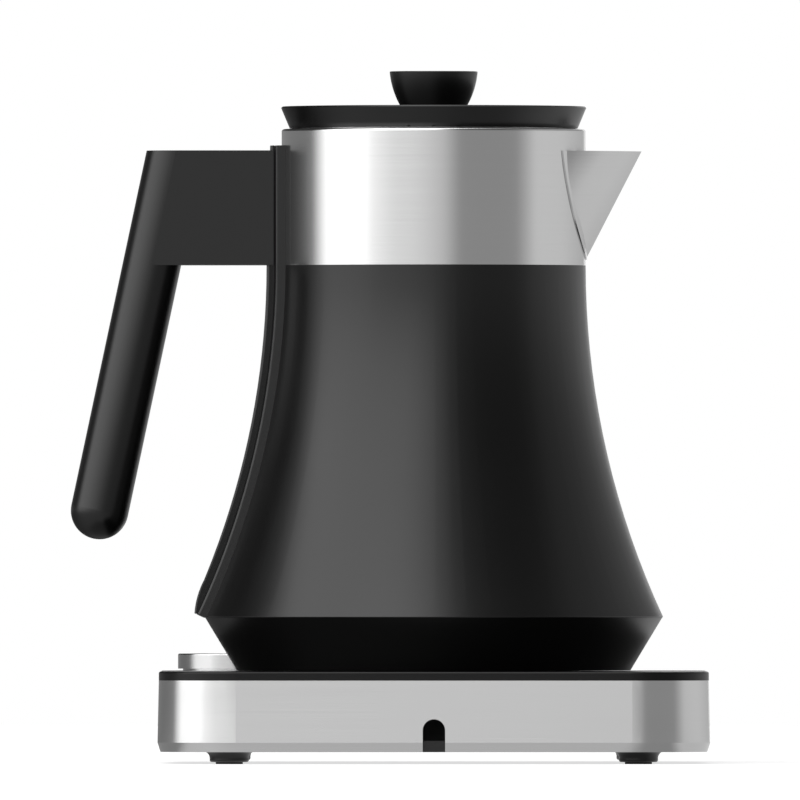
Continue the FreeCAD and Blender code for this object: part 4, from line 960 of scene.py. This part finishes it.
for name, body, axis in screw_groups:
    seats, length = screw_seats[name]
    sizes = {"Head Radius": head_radius, "Head Height": head_height, "Shank Radius": shank_radius,
             "Length": length, "Pitch": pitch, "Axis": axis}
    piece = bake_recipe(name + "_cross_head", screw, seats, sizes, plated)
    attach(piece, body)
    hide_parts(name)
    print(piece.name, "has", len(piece.data.polygons), "faces")

# %% [markdown]
# The rubber feet. A real foot is moulded with rings on its underside so that it grips. They could be cut
# out one by one, but a cylinder with many rings on its ends, whose underside is pushed up by a cosine of
# the radius, gives the ribs in one step.

# %% ribbed feet
pad_sizes = ["Radius", "Thickness", "Rings", "Groove"]
pad_rings = 4.0
pad_groove = 0.35 * MM
underside_share = 0.1


def pad_recipe(made):
    """A tree that stands a ribbed pad on every point."""
    recipe, start, end = new_recipe("ribbed_pad", pad_sizes)
    size = start.outputs
    disc = add(recipe, "GeometryNodeMeshCylinder", Vertices=48, Side_Segments=2, Fill_Segments=30,
               Radius=size["Radius"], Depth=size["Thickness"]).outputs["Mesh"]
    disc = moved_to(recipe, disc, along_z(recipe, reckon(recipe, "MULTIPLY", size["Thickness"], 0.5)))
    place = point_place(recipe)
    share = reckon(recipe, "DIVIDE", from_axis(recipe, place), size["Radius"])
    turns = reckon(recipe, "MULTIPLY", share, size["Rings"])
    wave = reckon(recipe, "COSINE", reckon(recipe, "MULTIPLY", turns, 2.0 * math.pi))
    lift = reckon(recipe, "MULTIPLY", reckon(recipe, "SUBTRACT", 1.0, wave),
                  reckon(recipe, "MULTIPLY", size["Groove"], 0.5))
    low = reckon(recipe, "MULTIPLY", size["Thickness"], underside_share)
    below = reckon(recipe, "LESS_THAN", place["Z"], low)
    disc = add(recipe, "GeometryNodeSetPosition", Geometry=disc,
               Offset=along_z(recipe, reckon(recipe, "MULTIPLY", lift, below))).outputs["Geometry"]
    placed = add(recipe, "GeometryNodeInstanceOnPoints", Points=size["Geometry"], Instance=disc)
    close_recipe(recipe, placed.outputs["Instances"], made, end)
    return recipe


pads = ["foot_pad_1", "foot_pad_2", "foot_pad_3", "foot_pad_4"]
pad_low, pad_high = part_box(pads[0])
pad_spots = []
for name in pads:
    low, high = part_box(name)
    pad_spots.append(((low[0] + high[0]) / 2, (low[1] + high[1]) / 2, low[2]))
sizes = {"Radius": (pad_high[0] - pad_low[0]) / 2, "Thickness": pad_high[2] - pad_low[2],
         "Rings": pad_rings, "Groove": pad_groove}
feet = bake_recipe("ribbed_feet", pad_recipe(soft_rubber), pad_spots, sizes, soft_rubber)
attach(feet, "base")
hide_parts(*pads)
print("feet have", len(feet.data.polygons), "faces")

# %% [markdown]
# The collar's rim. The real sheet is rolled over at its top edge, and the roll catches one clean line of
# light that shows every facet of a coarse mesh. It could be lathed in mesh code, but a roll is an arc
# that follows a circle, so a tree sweeps one along the other. It lies on the collar's own round edge, a
# hair proud of it.

# %% rolled rim
rim_sizes = ["Ring Radius", "Round"]
rim_round = 1.0 * MM
rim_proud = 0.008 * MM


def rim_recipe(made):
    """A tree that lays a quarter-round roll about every point, outwards and upwards."""
    recipe, start, end = new_recipe("rolled_rim", rim_sizes)
    size = start.outputs
    circle = add(recipe, "GeometryNodeCurvePrimitiveCircle", Resolution=360, Radius=size["Ring Radius"])
    quarter = add(recipe, "GeometryNodeCurveArc", Resolution=25, Radius=size["Round"],
                  Start_Angle=-math.pi / 2, Sweep_Angle=math.pi / 2, Connect_Center=True)
    roll = add(recipe, "GeometryNodeCurveToMesh", Curve=circle.outputs["Curve"],
               Profile_Curve=quarter.outputs["Curve"])
    placed = add(recipe, "GeometryNodeInstanceOnPoints", Points=size["Geometry"],
                 Instance=roll.outputs["Mesh"])
    close_recipe(recipe, placed.outputs["Instances"], made, end)
    return recipe


collar_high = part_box("steel_collar")[1]
sizes = {"Ring Radius": collar_high[0] - rim_round, "Round": rim_round + rim_proud}
rim_spot = (0.0, 0.0, collar_high[2] - rim_round)
rim = bake_recipe("collar_rolled_rim", rim_recipe(steel), [rim_spot], sizes, steel)
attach(rim, "jug")
print("rim has", len(rim.data.polygons), "faces")
